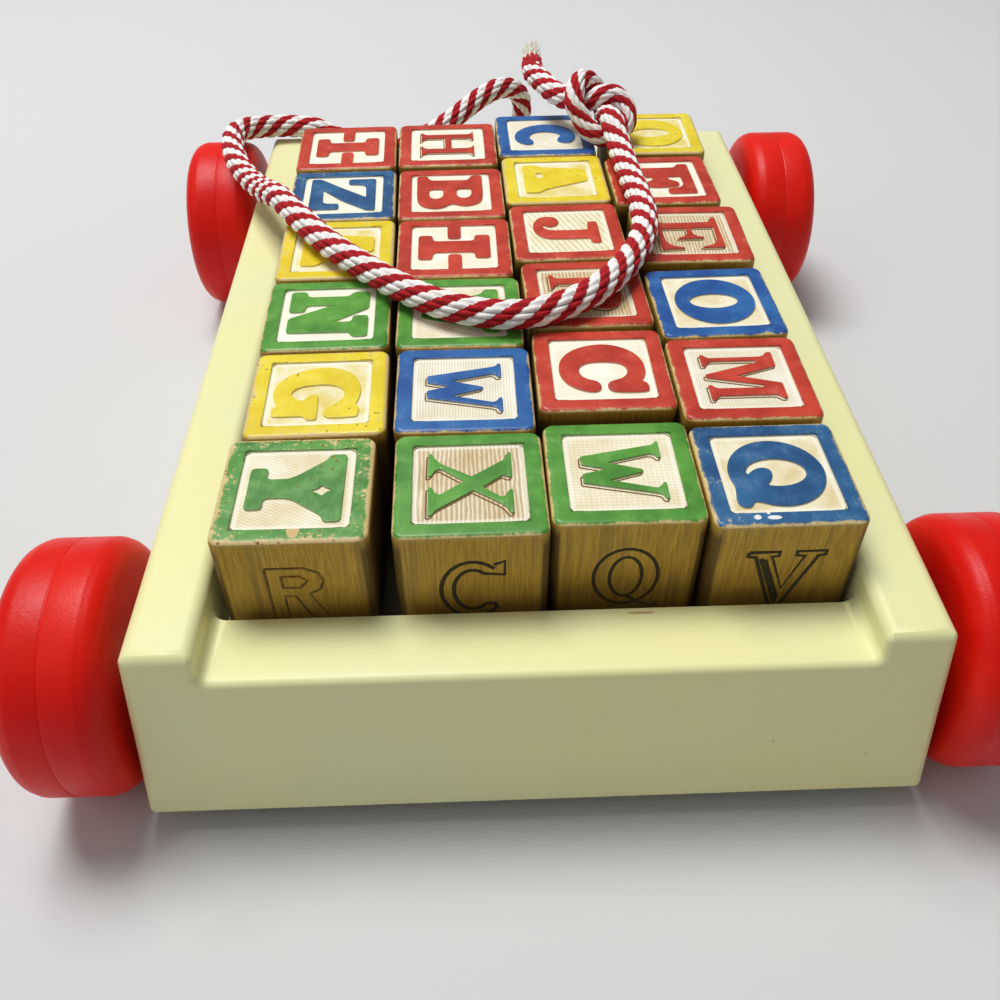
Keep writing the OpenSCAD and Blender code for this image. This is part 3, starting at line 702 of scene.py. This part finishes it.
# letters, upright, in millimetres: middle of the ground, corner rounding, shade line or not, outlines
letterShapes = {
    "A": ((-0.9, -0.2), 1.2, False, [
        [(-6.9, 10), (0.8, 10), (6, -3.6), (8, -5.4), (8, -9.8), (-10.4, -9.8), (-10.4, -5.6), (-9, -4)],
        [(-5, -3.8, 0.5), (-1.4, -3.8, 0.5), (-1.6, -5.8, 0.5), (-5, -5.8, 0.5)]]),
    "B": ((-0.45, 0), 1.3, False, [
        [(-11.5, 9.7)] + soft((2.7, 9.7), (6.3, 8.8), (8.3, 5.8), (8.2, 2.8), (6.4, 0.1), (9, -2.2), (9.8, -4.8),
         (8.7, -8.2), (5.6, -10.1)) + [(1.6, -10.3), (-11.6, -10.3), (-11.6, -7), (-8.7, -6.3), (-8.4, 5.3),
         (-11.5, 6.4)],
        [(-2.7, 6.2), (1.6, 6.1), (3.2, 4.8), (3.2, 3), (1.8, 1.8), (-2.7, 1.7)],
        [(-2.6, -2.3), (1.8, -2.4), (3.4, -3.6), (3.4, -5.4), (2, -6.5), (-2.6, -6.6)]]),
    "C": ((-0.9, -0.3), 1.2, False, [
        soft((-0.6, 10.1), (2.8, 9.5), (4.2, 8.4)) + [(5.4, 10), (8.3, 9.9)] + soft((8.6, 7), (8.5, 2.8), (7.9, 0.8),
         (6.2, 0.2), (4.5, 0.8), (3.8, 2.4), (3.1, 4.2), (1.7, 5.3), (0.2, 5.7), (-1.8, 5.2), (-3, 3.6), (-3.5, 0.6),
         (-3.4, -2.9), (-2.3, -5.2), (-0.3, -6), (2, -5.5), (3.5, -3.8), (4, -2), (5.6, -1), (7.4, -1.3),
         (8.3, -2.7), (7.9, -4.8), (6.4, -7.7), (3.6, -9.9), (-0.4, -10.8), (-5.2, -9.9), (-9, -6.4), (-10.8, -1),
         (-10.4, 3.2), (-8, 7.3), (-4.5, 9.5))]),
    "c": ((0.2, -1.2), 1.2, False, [
        soft((0.4, 9.2), (4.2, 8.7), (6.6, 7.2), (7.2, 5.2), (6, 2.8), (3.8, 2.7), (1.6, 4.2), (-0.2, 3.6),
         (-1.7, 1), (-2, -1.6), (-1.4, -4.6), (1.2, -6.4), (3.8, -6), (5.8, -4.9), (7.7, -5.8), (7.7, -8),
         (5.8, -10.3), (2.4, -11.4), (-2, -10.6), (-6, -7), (-8.1, -1.2), (-6.9, 4.4), (-3.8, 7.9))]),
    "E": ((0.4, 0), 0.3, True, [
        [(-8.7, 8.2), (-7.2, 8.6), (8.2, 8.9), (8.8, 8.2), (8.9, 2.5), (8.2, 2.5)] + soft((7.9, 4), (6.8, 6.1),
         (4.8, 7.2)) + [(-2.6, 7.3), (-2.5, 0.7), (0.8, 0.8), (2.3, 1.8), (2.9, 3.6), (3.6, 3.6), (3.9, -3.6),
         (3.2, -3.6), (2.2, -1.7), (0.7, -0.8), (-2.2, -0.7), (-2, -7.6)] + soft((4.8, -7.6), (7.2, -6.4),
         (8.2, -4.4)) + [(8.5, -2.6), (9.1, -2.6), (9.6, -9.1), (-7.4, -9.1), (-7.2, -8.5), (-5.7, -7.6),
         (-5.3, -6.6), (-5.6, 6), (-6.2, 7), (-8.6, 7.6)]]),
    "F": ((0.3, -0.3), 1.1, False, [
        [(-9.6, 9.4), (10.1, 9.4), (10.1, 0.6), (6.8, 0.6)] + soft((6.3, 4.2), (4.9, 5.6), (3.2, 6)) +
         [(-1.1, 5.9, 0.5), (-1.1, 2, 0.5)] + soft((0.8, 2), (1.8, 4), (3.4, 5), (5, 4.4), (5.9, 2.4), (5.9, -4.4),
         (4.2, -6.1), (2.2, -5.4), (1.2, -3.4), (0, -2.8)) + [(-1.2, -3), (-1.1, -6.6), (2.4, -7), (2.4, -10),
         (-9.6, -10), (-9.6, -7), (-7.4, -6.4), (-7.4, 5.2), (-9.6, 6)]]),
    "G": ((-0.2, -0.5), 0.9, False, [
        soft((-0.8, 9.3), (2.8, 8.8), (4.8, 8)) + [(5.8, 9.1), (9.2, 8.7), (9.4, 2)] + soft((8, 0.8), (6.2, 1.4),
         (4.7, 3.2), (2.6, 5.2), (0.2, 5.6), (-1.9, 4.4), (-3, 1.8), (-3, -1.6), (-2.4, -5.1), (-0.3, -7),
         (1.8, -6.3), (3.1, -4.2)) + [(2.2, -3.3), (0.9, -2.6), (0.9, -0.5), (9.9, -0.3), (9.9, -2.7), (8.5, -3.4),
         (8.4, -10.7), (5.6, -10.7), (4.5, -9.6)] + soft((2.8, -10.5), (-0.4, -11.1), (-5, -9.9), (-8.3, -6),
         (-9.8, -0.4), (-9, 4.4), (-6, 8))]),
    "H": ((-0.9, 0), 0.3, True, [
        [(-10.4, 8.6), (-3.6, 8.6), (-4.8, 7.8), (-5.3, 6.8), (-5.4, 1.3), (2.5, 1.3), (2.5, 6.8), (1.9, 7.8),
         (0.4, 8.6), (8, 8.6), (6.4, 7.8), (5.6, 6.8), (5.6, -6.6), (6.2, -7.7), (7.8, -8.5), (-0.2, -8.5),
         (1.8, -7.7), (2.5, -6.6), (2.5, -0.8), (-5.4, -0.8), (-5.3, -6.6), (-4.7, -7.7), (-3, -8.5), (-10.3, -8.5),
         (-8.9, -7.7), (-8.2, -6.6), (-8.2, 6.8), (-8.8, 7.8)]]),
    "I": ((-0.65, -0.3), 1.3, False, [
        [(-6.9, 9.8), (5.7, 9.8), (5.7, 5.5), (2.4, 5.4), (2.4, -6.1), (6, -6.3), (6, -10.3), (-7.1, -10.3),
         (-7.1, -6.3), (-3.8, -6.1), (-3.8, 5.4), (-6.9, 5.5)],
        [(-13, 1.7, 0), (-5.1, 1.7), (-5.1, -2.1), (-13, -2.1, 0)],
        [(3.5, 1.8), (11.8, 1.8, 0), (11.8, -2, 0), (3.5, -2)]]),
    "J": ((-0.5, -0.25), 0.9, False, [
        [(-5.3, 8.8), (6.7, 8.8), (6.7, 6), (4.1, 5.7)] + soft((4.1, -4.4), (3.5, -7), (1.2, -9.2), (-1.8, -10),
         (-5.2, -9.8), (-8.2, -8.1), (-9.1, -5.8), (-8.6, -3.4), (-6.6, -2.1), (-4.2, -2.5), (-2.9, -4.4),
         (-3.2, -6), (-4.4, -6.9), (-3, -7.2), (-1.4, -6.2), (-0.7, -3.8)) + [(-0.7, 5.7), (-5.3, 6)]]),
    "M": ((0.35, -0.15), 0.3, True, [
        [(-9, 8.8), (-3.5, 8.8), (0.1, -1.3), (3.2, 8.8), (8.8, 8.8), (8.8, 7.8), (7.8, 6.9), (7.5, 6), (7.6, -6.5),
         (8, -7.2), (9.1, -7.8), (9.1, -8.7), (3.5, -8.7), (3.5, -7.8), (4.4, -7.2), (4.8, -6.5), (4.8, 3.6),
         (4.1, 4.6), (3.6, 3.6), (0.6, -8.6), (-0.6, -8.6), (-4.9, 4.2), (-5.4, 4.7), (-5.8, 3.8), (-5.8, -6.4),
         (-5.2, -7.2), (-4, -7.8), (-4, -8.7), (-8.4, -8.7), (-8.4, -7.8), (-7.5, -7.2), (-7.1, -6.5), (-7.3, 5.8),
         (-7.8, 6.7), (-9, 7.6)]]),
    "N": ((-0.1, -0.15), 1.1, False, [
        [(-10.1, 10.2), (-2.4, 10.2), (3.7, 1.2, 0.4), (3.7, 6), (1, 6.2), (1, 10.2), (10.3, 10.2), (10.3, 6.2),
         (8.3, 5.6), (8.1, -10.1), (1.8, -10.1), (-4.1, 1, 0.4), (-4.1, -5.9), (-1.2, -6.2), (-1.2, -10.2),
         (-10.7, -10.2), (-10.7, -6.2), (-8.1, -5.6), (-8.1, 4.8), (-10.1, 6)]]),
    "O": ((-0.65, -0.35), 1, False, [
        soft(*arc(-0.65, -0.15, 10.4, 10.4, 0, 345, 23)),
        soft(*arc(-0.6, -0.45, 3.4, 6.3, 0, 340, 17))]),
    "P": ((-0.2, -0.8), 0.3, True, [
        [(-9.3, 8.4), (1.4, 8.4)] + soft((5.4, 8), (7.6, 5.8), (7.8, 3), (6.6, 0), (3.6, -1.8), (-0.8, -2.2)) +
         soft((-3.4, -2.6), (-4.5, -4), (-4.7, -6)) + [(-4.7, -7.6), (-3.8, -8.4), (-2.6, -8.9), (-2.6, -9.7),
         (-9.3, -9.7), (-9.3, -8.9), (-8.2, -8.4), (-7.4, -7.6), (-7.4, 6.2), (-8, 7.1), (-9.3, 7.6)],
        [(-4.7, -0.6), (-4.7, 7), (0.6, 7)] + soft((2.8, 5.9), (3.8, 3.2), (2.8, 0.5), (0.4, -0.6))]),
    "Q": ((-1, 0.4), 1, False, [
        soft(*arc(-0.9, 0.5, 10.2, 10.3, -32, 292, 22), (4.8, -9.3), (8, -9.8), (9.4, -8.6), (9.2, -6.8),
         (7.6, -6.2)),
        soft(*arc(-0.95, 0.4, 4.3, 6.4, -26, 262, 16), (-0.3, -5.8), (-1.7, -4.6), (-2.6, -2.6), (-2.2, -0.9),
         (-0.6, -0.3), (1.4, -1.1))]),
    "V": ((-0.5, -0.3), 1.1, False, [
        [(-10.4, 9.8), (-3.4, 9.8), (-3.4, 6.2), (-4.6, 5.6), (-0.3, -3.8, 0.5), (3.2, 5.6), (2, 6.2), (2, 9.8),
         (9.6, 9.8), (9.6, 6), (7.8, 5.4), (2.3, -10), (-2.7, -10), (-8.3, 5.4), (-10.4, 6)]]),
    "W": ((-0.3, 0.1), 0.3, True, [
        [(-9.4, 8.9), (-4.1, 8.9), (-4.1, 8.2), (-5.1, 7.5), (-5.4, 6.6), (-2.9, -2.8), (-0.6, 4.2), (-0.1, 4.7),
         (0.4, 4.2), (2.6, -2.8), (5.3, 6.6), (5, 7.5), (3.7, 8.2), (3.7, 8.9), (8.6, 8.9), (8.6, 8.2), (7.3, 7.6),
         (6.9, 6.8), (3.3, -8.4), (0.6, -8.4), (-0.9, -3.1), (-2.4, -8.4), (-5, -8.4), (-8.2, 7), (-8.5, 7.7),
         (-9.4, 8.2)]]),
    "X": ((-0.15, -0.1), 0.3, True, [
        [(-9.2, 8.9), (-1.4, 8.9), (-1.4, 8.1), (-2.1, 7), (1.4, 2.6), (4.6, 6.4), (4.2, 7.3), (2.4, 8.1),
         (2.4, 8.8), (9.4, 8.8), (9.3, 8.1), (7.6, 7.3), (6.5, 6.3), (2.3, 0.7), (7, -5.9), (8, -7.2), (9.4, -8),
         (9.4, -8.8), (1.1, -8.7), (1.1, -8), (2.8, -7.3), (3.4, -6.3), (-0.5, -1.2), (-4.6, -6.1), (-4.1, -7.2),
         (-2.3, -8.1), (-2.3, -8.8), (-9.4, -8.6), (-9.3, -7.9), (-7.5, -7.1), (-6.1, -6), (-1.9, 0.4), (-6.8, 7.2),
         (-8, 8), (-9.2, 8.2)]]),
    "Y": ((-0.35, -0.35), 1.1, False, [
        [(-10.5, 9.7), (9.8, 9.7), (9.8, 6.1), (8, 5.6), (3.4, -0.4), (2.6, -2.2), (2.6, -6.6), (5.9, -6.6),
         (5.9, -10.3), (-6.6, -10.3), (-6.6, -6.6), (-3.1, -6.6), (-3.1, -2.2), (-4, -0.4), (-8.8, 5.5),
         (-10.5, 6.1)],
        [(0.6, 7.6, 0.4), (1.1, 6.2, 0.4), (2.3, 5.3, 0.4), (1.5, 4.4, 0.4), (0.6, 2.8, 0.4), (0, 4.3, 0.4),
         (-1, 5.1, 0.4), (-0.1, 6.1, 0.4)]]),
    "Z": ((-0.9, 0.4), 1, False, [
        [(-10.8, 10.1), (9.5, 10.2), (9.3, 7.6), (3, 0.2), (-4, -5.7, 0.4), (3.6, -5.5), (4.6, -4.6), (4.9, -0.6),
         (8.3, -0.6), (8.3, -9.6), (-11.4, -9.6), (-11.4, -6.8), (-4.6, 0.6), (1.1, 7.3, 0.4), (-5.8, 7.1), (-7, 6),
         (-7.4, 1.7), (-10.8, 1.7)]])}

# outline letters on the sides, upright, in millimetres
outlineLines = {
    "R": [[(-5.6, 8.4), (2, 8.4), (5, 7), (5.8, 4.6), (5, 2), (2.6, 0.6), (6.6, -8.4), (3, -8.4), (-0.4, 0),
           (-2.6, 0), (-2.6, -8.4), (-5.6, -8.4), (-5.6, 8.4)],
          [(-2.6, 6), (1, 6), (2.6, 4.6), (1, 2.6), (-2.6, 2.6), (-2.6, 6)]],
    "C": [arc(0, 0, 6.6, 8.4, 48, 318, 22) + [(4.6, -4.4)] + arc(0, 0, 4, 6, 312, 55, 18)
          + [(6.6, 4.4), (6.6, 8.4), (4.4, 7.4)]],
    "Q": [arc(0, 0, 6.8, 8.4, 0, 360, 26), arc(0, 0, 3.4, 6, 0, 360, 20),
          [(0.6, -6), (3, -8), (6.4, -9.4), (7.4, -8.4)]],
    "V": [[(-8, 8.2), (-1.6, 8.2), (-1.6, 7), (-3, 6.8), (0.6, -3), (3.8, 6.8), (2, 7), (2, 8.2), (8, 8.2), (8, 7),
           (6.6, 6.8), (1, -8.6), (-1, -8.6), (-6.4, 6.8), (-8, 7), (-8, 8.2)],
          [(-5.2, 6.4), (0, -7.4)], [(-4.4, 6), (0.2, -6)]]}

# letter, paint, turn in degrees, ground and side letter of the blocks, from the near row
blockRows = (
    "Y wornGreen 0 scored R, X green 0.5 ribbed C, W green 0 woven Q, Q dullBlue 0.5 aged V",
    "G yellow 1 stained V, W blue 0 fine R, C red 0 plain R, M red 0 fine C",
    "N green 1 plain C, V green 0 scored V, P red 1.5 ribbed Q, O blue 1.5 aged R",
    "A yellow 1 stained Q, I red 0.5 plain C, J red 1.5 slanted V, E red -0.5 ribbed Q",
    "Z dullBlue 1.5 plain R, B red 1 plain Q, A yellow 1 stained C, F red 1 plain V",
    "I red 1.5 plain C, H red 1 plain R, c blue 1 fine Q, O yellow -0.5 stained R")

# paint: deep and light tone, wear
paintTones = {"green": ((60, 128, 34), (94, 164, 58), 0.35), "wornGreen": ((56, 122, 34), (88, 158, 54), 1.1),
              "red": ((176, 44, 24), (206, 66, 42), 0.32), "blue": ((14, 76, 148), (40, 106, 172), 0.3),
              "dullBlue": ((20, 74, 124), (40, 102, 150), 0.6), "yellow": ((226, 200, 18), (242, 220, 46), 0.8)}
# drops and chips on the front row's frames: colour, then middle and half sizes of each
paintMarks = {"dullBlue": ((238, 240, 236), (((-7, -13.3), (0.8, 0.7)), ((-3.6, -13.5), (1.5, 0.6)),
                                             ((-4.6, -12.2), (0.4, 0.4)))),
              "wornGreen": ((206, 176, 116), (((0.9, -12.4), (1.4, 2.3)),))}
# grounds: low and high tone, then the printed lines' course as shares of x, y and wander, lines per mm and depth
grounds = {"plain": ((240, 232, 206), (252, 249, 232), None), "aged": ((222, 204, 150), (246, 240, 212), None),
           "stained": ((226, 208, 112), (244, 238, 208), None),
           "ribbed": ((224, 200, 152), (240, 226, 192), (1, 0, 1.2, 1.05, 0.5)),
           "woven": ((232, 220, 182), (248, 240, 214), (1, 0, 0.3, 0.95, 0.26)),
           "fine": ((238, 230, 202), (252, 248, 230), (1, 0, 0.3, 1.5, 0.22)),
           "slanted": ((236, 228, 186), (250, 246, 214), (0.94, 0.34, 1, 0.62, 0.26)),
           "scored": ((234, 220, 178), (252, 246, 222), (0.5, 0.87, 0.8, 1.3, 0.2))}


def blockWood():
    paint = Paint("agedBasswoodAndPaintedShade", Roughness=0.6)
    x, y, z = paint.onBlock()
    far = paint.parts(paint.place())[1]
    grain = paint.noise(2.6, 4, 0.7, (1, 1, 0.05), distortion=0.3)
    ridges = paint.noise(0.8, 2, 0.5, (1, 1, 0.02))
    pores = paint.noise(1.6, 3, 0.7, (2.6, 2.6, 0.1))
    cloud = paint.noise(0.05, 3)
    inView = (-y).ramp(15.6, 15.8) * (-far).ramp(92, 96)  # the front row's fronts get no painted slit shade
    wood = paint.mix(grain.ramp(0.3, 0.7), (160, 120, 24), (202, 164, 52))
    for share, colour in ((ridges.ramp(0.54, 0.62) * cloud.ramp(0.35, 0.6) * 0.5, (104, 76, 24)),
                          (pores.ramp(0.6, 0.74) * 0.3, (104, 74, 18)), (cloud.ramp(0.4, 0.7) * 0.25, (214, 182, 92)),
                          # painted shade: the sides darker towards the bottom, and near black low in the tray's well
                          ((1 - (z + cloud * 8).ramp(-8, 10)) * 0.8, (84, 56, 12)),
                          ((1 - z.ramp(-15.5, -6)) * 0.8, (20, 14, 6)),
                          # painted shade in the slits between blocks: the sides darker below the top edge
                          ((1 - z.ramp(11.5, 15.6)) * (1 - inView) * 0.75, (52, 31, 12)),
                          (z.ramp(14.4, 15.6) * pores.ramp(0.3, 0.6) * 0.7, (206, 180, 112))):
        wood = wood.tint(share, colour)
    return paint.finish(wood, None, grain * 0.7 + pores, 0.4, 0.22)


def blockPaint(name):
    deep, light, wear = paintTones[name]
    paint = Paint(name + "WornPaint", Coat_Weight=0.08)
    x, y, z = paint.onBlock()
    cloud = paint.noise(0.1, 4)
    fine = paint.noise(1.3, 5, 0.7)
    patches = paint.noise(0.2, 3, 0.6)
    streaks = paint.noise(1.1, 4, 0.7, (1.6, 0.35, 1))
    colour = paint.mix(cloud.ramp(0.3, 0.7), deep, light)
    colour = colour.tint(fine.ramp(0.6, 0.85) * 0.3, [c * 0.75 for c in deep])
    thin = (streaks * 0.6 + patches * 0.6).ramp(0.66 - wear * 0.1, 0.8 - wear * 0.1)
    colour = colour.tint(thin * 0.15, [c * 0.5 + 120 for c in light])
    reach = x.size().atLeast(y.size())  # distance from the block's middle
    edge = reach + swing(fine) * 1.1 + swing(patches) * 1.5
    flakes = paint.noise(1.0, 4, 0.7) + patches * 0.5 + reach.ramp(9, 16) * 0.16 * wear
    worn = edge.ramp(15.45 - wear * 0.8, 15.85 - wear * 0.6).atLeast(flakes.ramp(1.07 - wear * 0.1, 1.1 - wear * 0.1))
    colour = colour.tint(worn, paint.mix(fine, (196, 164, 96), (232, 214, 160)))
    specks = 1 - paint.spots(0.55).ramp(0.04 + wear * 0.08, 0.12 + wear * 0.12)
    specks = specks * cloud.ramp(0.56 - wear * 0.1, 0.66 - wear * 0.1)
    colour = colour.tint(specks * (0.3 + wear * 0.6), (124, 92, 24))
    markColour, marks = paintMarks.get(name, (None, ()))
    for middle, half in marks:
        out = ovalReach(x, y, middle, half) + swing(fine) * 0.5
        inFront = (-paint.parts(paint.place())[1]).ramp(80, 82)
        colour = colour.tint((1 - out.ramp(0.85, 1.05)) * inFront, markColour)
    wall = (1 - z.ramp(15.5, 15.7)) * (1 - reach.above(14.5))
    return paint.finish(colour.tint(wall * 0.7, (238, 232, 204)), 0.34 + 0.25 * worn + 0.1 * fine,
                        fine * 0.35 - worn * 0.6 + streaks * 0.2, 0.3, 0.2)


def stripes(run, low, high):  # 1 on a printed line, 0 between the lines
    return 1 - (run.fraction() * 2 - 1).size().ramp(low, high)


def blockGround(kind):
    low, high, lines = grounds[kind]
    paint = Paint(kind + "Ground", Roughness=0.66)
    x, y, z = paint.onBlock()
    cloud = paint.noise(0.12, 4)
    fine = paint.noise(1.4, 5, 0.7)
    colour = paint.mix(cloud.ramp(0.3, 0.7), low, high).tint(fine.ramp(0.58, 0.8) * 0.4, (150, 120, 76))
    height = fine * 0.3 + cloud * 0.3
    if lines:
        alongX, alongY, wandering, perMm, depth = lines
        wander = swing(paint.noise(0.5, 3, 0.55, (1, 0.25, 1)))
        groove = stripes((x * alongX + y * alongY + wander * wandering) * perMm, 0.25, 0.75)
        if kind == "woven":
            groove = groove.atLeast(stripes((y + wander * 0.3) * 1.1, 0.55, 0.9))
        colour = colour.tint((1 - groove) * depth * (0.5 + fine), (128, 98, 56))
        height = height * 0.4 + groove * depth
    reach = x.size().atLeast(y.size())
    colour = colour.tint(reach.ramp(10.4, 11.2) * 0.6, (252, 248, 232))
    # painted shade: a dark line in the crease along the ground's border with the frame
    colour = colour.tint(reach.ramp(11.5, 11.9) * cloud * 0.7, (120, 96, 56))
    return paint.finish(colour, None, height, 0.5, 0.35)


def stampInk(name, scale, low, high, span=None):
    paint = Paint(name, Roughness=0.8)
    share = paint.noise(scale, 4)
    return paint.finish(paint.mix(share.ramp(*span) if span else share, low, high))


woodFinish = blockWood()
paintFinish = {name: blockPaint(name) for name in paintTones}
groundFinish = {kind: blockGround(kind) for kind in grounds}
inkFinish = stampInk("darkStampInk", 0.8, (30, 30, 16), (74, 62, 26))
faintFinish = stampInk("faintStampInk", 0.5, (92, 66, 18), (130, 98, 32), (0.4, 0.6))
shadeFinish = Paint("shadeLine", Roughness=0.8).finish((126, 96, 56))
letterMeshes = {}


def rounded(points, radius):  # the outline with its corners rounded
    outline = []
    for i, point in enumerate(points):
        here, before, after = (Vector(points[j % len(points)][:2]) for j in (i, i - 1, i + 1))
        reach = point[2] if len(point) > 2 else radius
        start = here + (before - here).normalized() * min(reach, (before - here).length / 2)
        end = here + (after - here).normalized() * min(reach, (after - here).length / 2)
        for t in (0, 0.25, 0.5, 0.75, 1):
            spot = start * (1 - t) ** 2 + here * 2 * t * (1 - t) + end * t * t
            if not outline or (spot - outline[-1]).length > block["closest"]:
                outline.append(spot)
    return outline if (outline[0] - outline[-1]).length > block["closest"] else outline[:-1]


def drawnShape(name, outlines, shift, thickness, edge, filled):
    curve = newCurve(name, "2D" if filled else "3D", edge, 1)
    curve.fill_mode, curve.extrude = "BOTH" if filled else "FULL", thickness * mm
    curve.offset = -edge * mm if filled else 0
    for outline in outlines:
        spots = [((spot[0] + shift[0]) * mm, (spot[1] + shift[1]) * mm, 0) for spot in outline]
        addLine(curve, spots).use_cyclic_u = True
    piece = curveToMesh(name, curve)
    faceOutward(piece, 0.004)
    smoothShade(piece)
    return piece


def makeLetter(name):  # a flat raised letter, with the printed shade line of the thin ones
    if name not in letterMeshes:
        (middleX, middleY), radius, shaded, outlines = letterShapes[name]
        outlines = [rounded(points, radius) for points in outlines]
        edge, top = block["letterEdge"], block["side"] / 2
        tall = block["relief"] + block["letterSink"]
        piece = drawnShape(name + "Letter", outlines, (-middleX, -middleY), tall / 2 - edge, edge, True)
        piece.location.z = (top - block["letterLow"] - tall / 2) * mm
        piece.data.materials.append(None)
        if shaded:
            shift = (block["shadeShift"][0] - middleX, block["shadeShift"][1] - middleY)
            line = drawnShape(name + "Shade", outlines, shift, 0, block["shadeLine"], False)
            line.location.z = (top - block["relief"] - block["shadeLow"]) * mm
            line.data.materials.append(shadeFinish)
            activate(piece, line)
            bpy.ops.object.join()
        applyPlace(piece)
        letterMeshes[name] = piece.data
        bpy.data.objects.remove(piece)
    return addObject(name + "Letter", letterMeshes[name].copy())


def makeOutline(name, turnAbout):  # thin stamped lines on a side, turned about the block
    curve = newCurve(name + "Outline", "3D", block["ink"][name])
    for points in outlineLines[name]:
        addLine(curve, [(x * mm, 0, z * mm) for x, z in points])
    piece = curveToMesh(name + "Outline", curve)
    piece.scale = (1, block["inkFlat"], 1)
    piece.location = (0, (-block["side"] / 2 - block["inkProud"]) * mm, 0)
    applyPlace(piece)
    piece.rotation_euler = (0, 0, math.radians(turnAbout))
    applyPlace(piece)
    piece.data.materials.append(faintFinish if name == "R" else inkFinish)
    return piece


def blankBlock():  # a worn cube with a sunk ground in its top, about the origin
    half, inner = block["side"] / 2 * mm, (block["side"] / 2 - block["frame"]) * mm
    piece = primitive("cube", size=block["side"] * mm)

    def bevelPicked(elements, test, width, segments):
        pick(piece, elements, test)
        kind = "VERTICES" if elements == "verts" else "EDGES"
        bpy.ops.mesh.bevel(offset=block[width] * mm, segments=segments, affect=kind)

    def onRim(c, e):  # an edge between an upright face and the top or bottom
        upright = [f for f in e.link_faces if abs(f.normal.z) < 0.5]
        return abs(c.z) > half * 0.99 and len(upright) == 1 and c.xy.length > inner * 1.02

    def aroundGround(c, e):
        return c.z > half * 0.99 and max(abs(c.x), abs(c.y)) < inner * 1.01

    editMode(piece)
    pick(piece, "faces", lambda c, f: c.z > half * 0.99)
    bpy.ops.mesh.inset(thickness=block["frame"] * mm)
    bevelPicked("verts", aroundGround, "groundCorner", 4)
    pick(piece, "faces", lambda c, f: c.z > half * 0.99 and c.xy.length < 0.1 * mm)
    bpy.ops.mesh.extrude_region_move(TRANSFORM_OT_translate={"value": (0, 0, -block["relief"] * mm)})
    bevelPicked("edges", lambda c, e: abs(c.z) < 0.1 * mm and c.xy.length > half, "cornerRound", 4)
    bevelPicked("edges", onRim, "edgeWear", 3)
    bevelPicked("edges", aroundGround, "rimRound", 2)
    objectMode()
    return piece


def makeBlock(row, col):
    letter, colour, turnDegrees, ground, sideLetter = blockRows[row].split(", ")[col].split()
    node = f"block_row{row + 1}_col{col + 1}"
    half = block["side"] / 2 * mm
    piece = blankBlock()
    for finish in (woodFinish, paintFinish[colour], groundFinish[ground], inkFinish):
        piece.data.materials.append(finish)
    for face in piece.data.polygons:
        c = face.center
        if c.z > half - block["paintDepth"] * mm:
            face.material_index = 1
        if c.z < half - block["groundDepth"] * mm and face.normal.z > 0.9 and c.xy.length < 0.5 * mm:
            face.material_index = 2
    smoothShade(piece, 40)
    shape = makeLetter(letter)
    shape.rotation_euler = (0, 0, -math.pi / 2)
    applyPlace(shape)
    shape.data.materials[0] = paintFinish[colour]
    inSight = (True, col == 0, col == 3, row == 5)
    lines = [makeOutline(sideLetter, about) for about, shown in zip((0, -90, 90, 180), inSight) if shown]
    activate(piece, shape, *lines)
    bpy.ops.object.join()
    place = piece.data.attributes.new("blockPlace", "FLOAT_VECTOR", "POINT")
    spots = np.zeros(len(piece.data.vertices) * 3)
    piece.data.vertices.foreach_get("co", spots)
    place.data.foreach_set("vector", spots / mm)
    low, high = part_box(node)
    piece.location = (low + high) / 2
    piece.rotation_euler = (0, 0, math.radians(float(turnDegrees)))
    applyPlace(piece)
    applyModifier(piece, "WEIGHTED_NORMAL", keep_sharp=True)
    slotColour = {"wornGreen": "green", "dullBlue": "blue"}.get(colour, colour)
    finishPiece(piece, f"block{letter}Row{row + 1}Col{col + 1}", None, slotColour + "_painted_wood", node)


for row in range(6):
    for col in range(4):
        makeBlock(row, col)
    print("blocks of row", row + 1, "made")


# plain pale floor and soft studio light
studio = {"floor": (0.66, 0.67, 0.67, 1), "floorSize": 14,
          "sky": 0.23, "skyInView": 0.85, "skyTone": (1, 0.98, 0.96, 1), "aim": (0, 0, 0.03),
          "lamps": [((-0.35, 0.4, 1.5), 0.7, 22), ((-1.0, -0.6, 1.1), 1.0, 2)]}
floor = primitive("plane", size=studio["floorSize"])
floor.name = "studioFloor"
floor.data.materials.append(Paint("paleFloor", Roughness=0.9, Base_Color=studio["floor"]).finish())
for place, size, power in studio["lamps"]:
    lampData = bpy.data.lights.new("softLamp", "AREA")
    lampData.size, lampData.energy = size, power
    lamp = addObject("softLamp", lampData)
    lamp.location = place
    lamp.rotation_mode = "QUATERNION"
    lamp.rotation_quaternion = (Vector(studio["aim"]) - Vector(place)).to_track_quat("-Z", "Y")
world = bpy.data.worlds.new("studioWorld")
bpy.context.scene.world = world
world.use_nodes = True
sky = world.node_tree
background = sky.nodes["Background"]
background.inputs["Color"].default_value = studio["skyTone"]
rays = sky.nodes.new("ShaderNodeLightPath")
strength = sky.nodes.new("ShaderNodeMapRange")
strength.inputs["To Min"].default_value = studio["sky"]
strength.inputs["To Max"].default_value = studio["skyInView"]
sky.links.new(rays.outputs["Is Camera Ray"], strength.inputs[0])
sky.links.new(strength.outputs[0], background.inputs["Strength"])
bpy.context.scene.view_settings.view_transform = "Standard"
print("studio made")
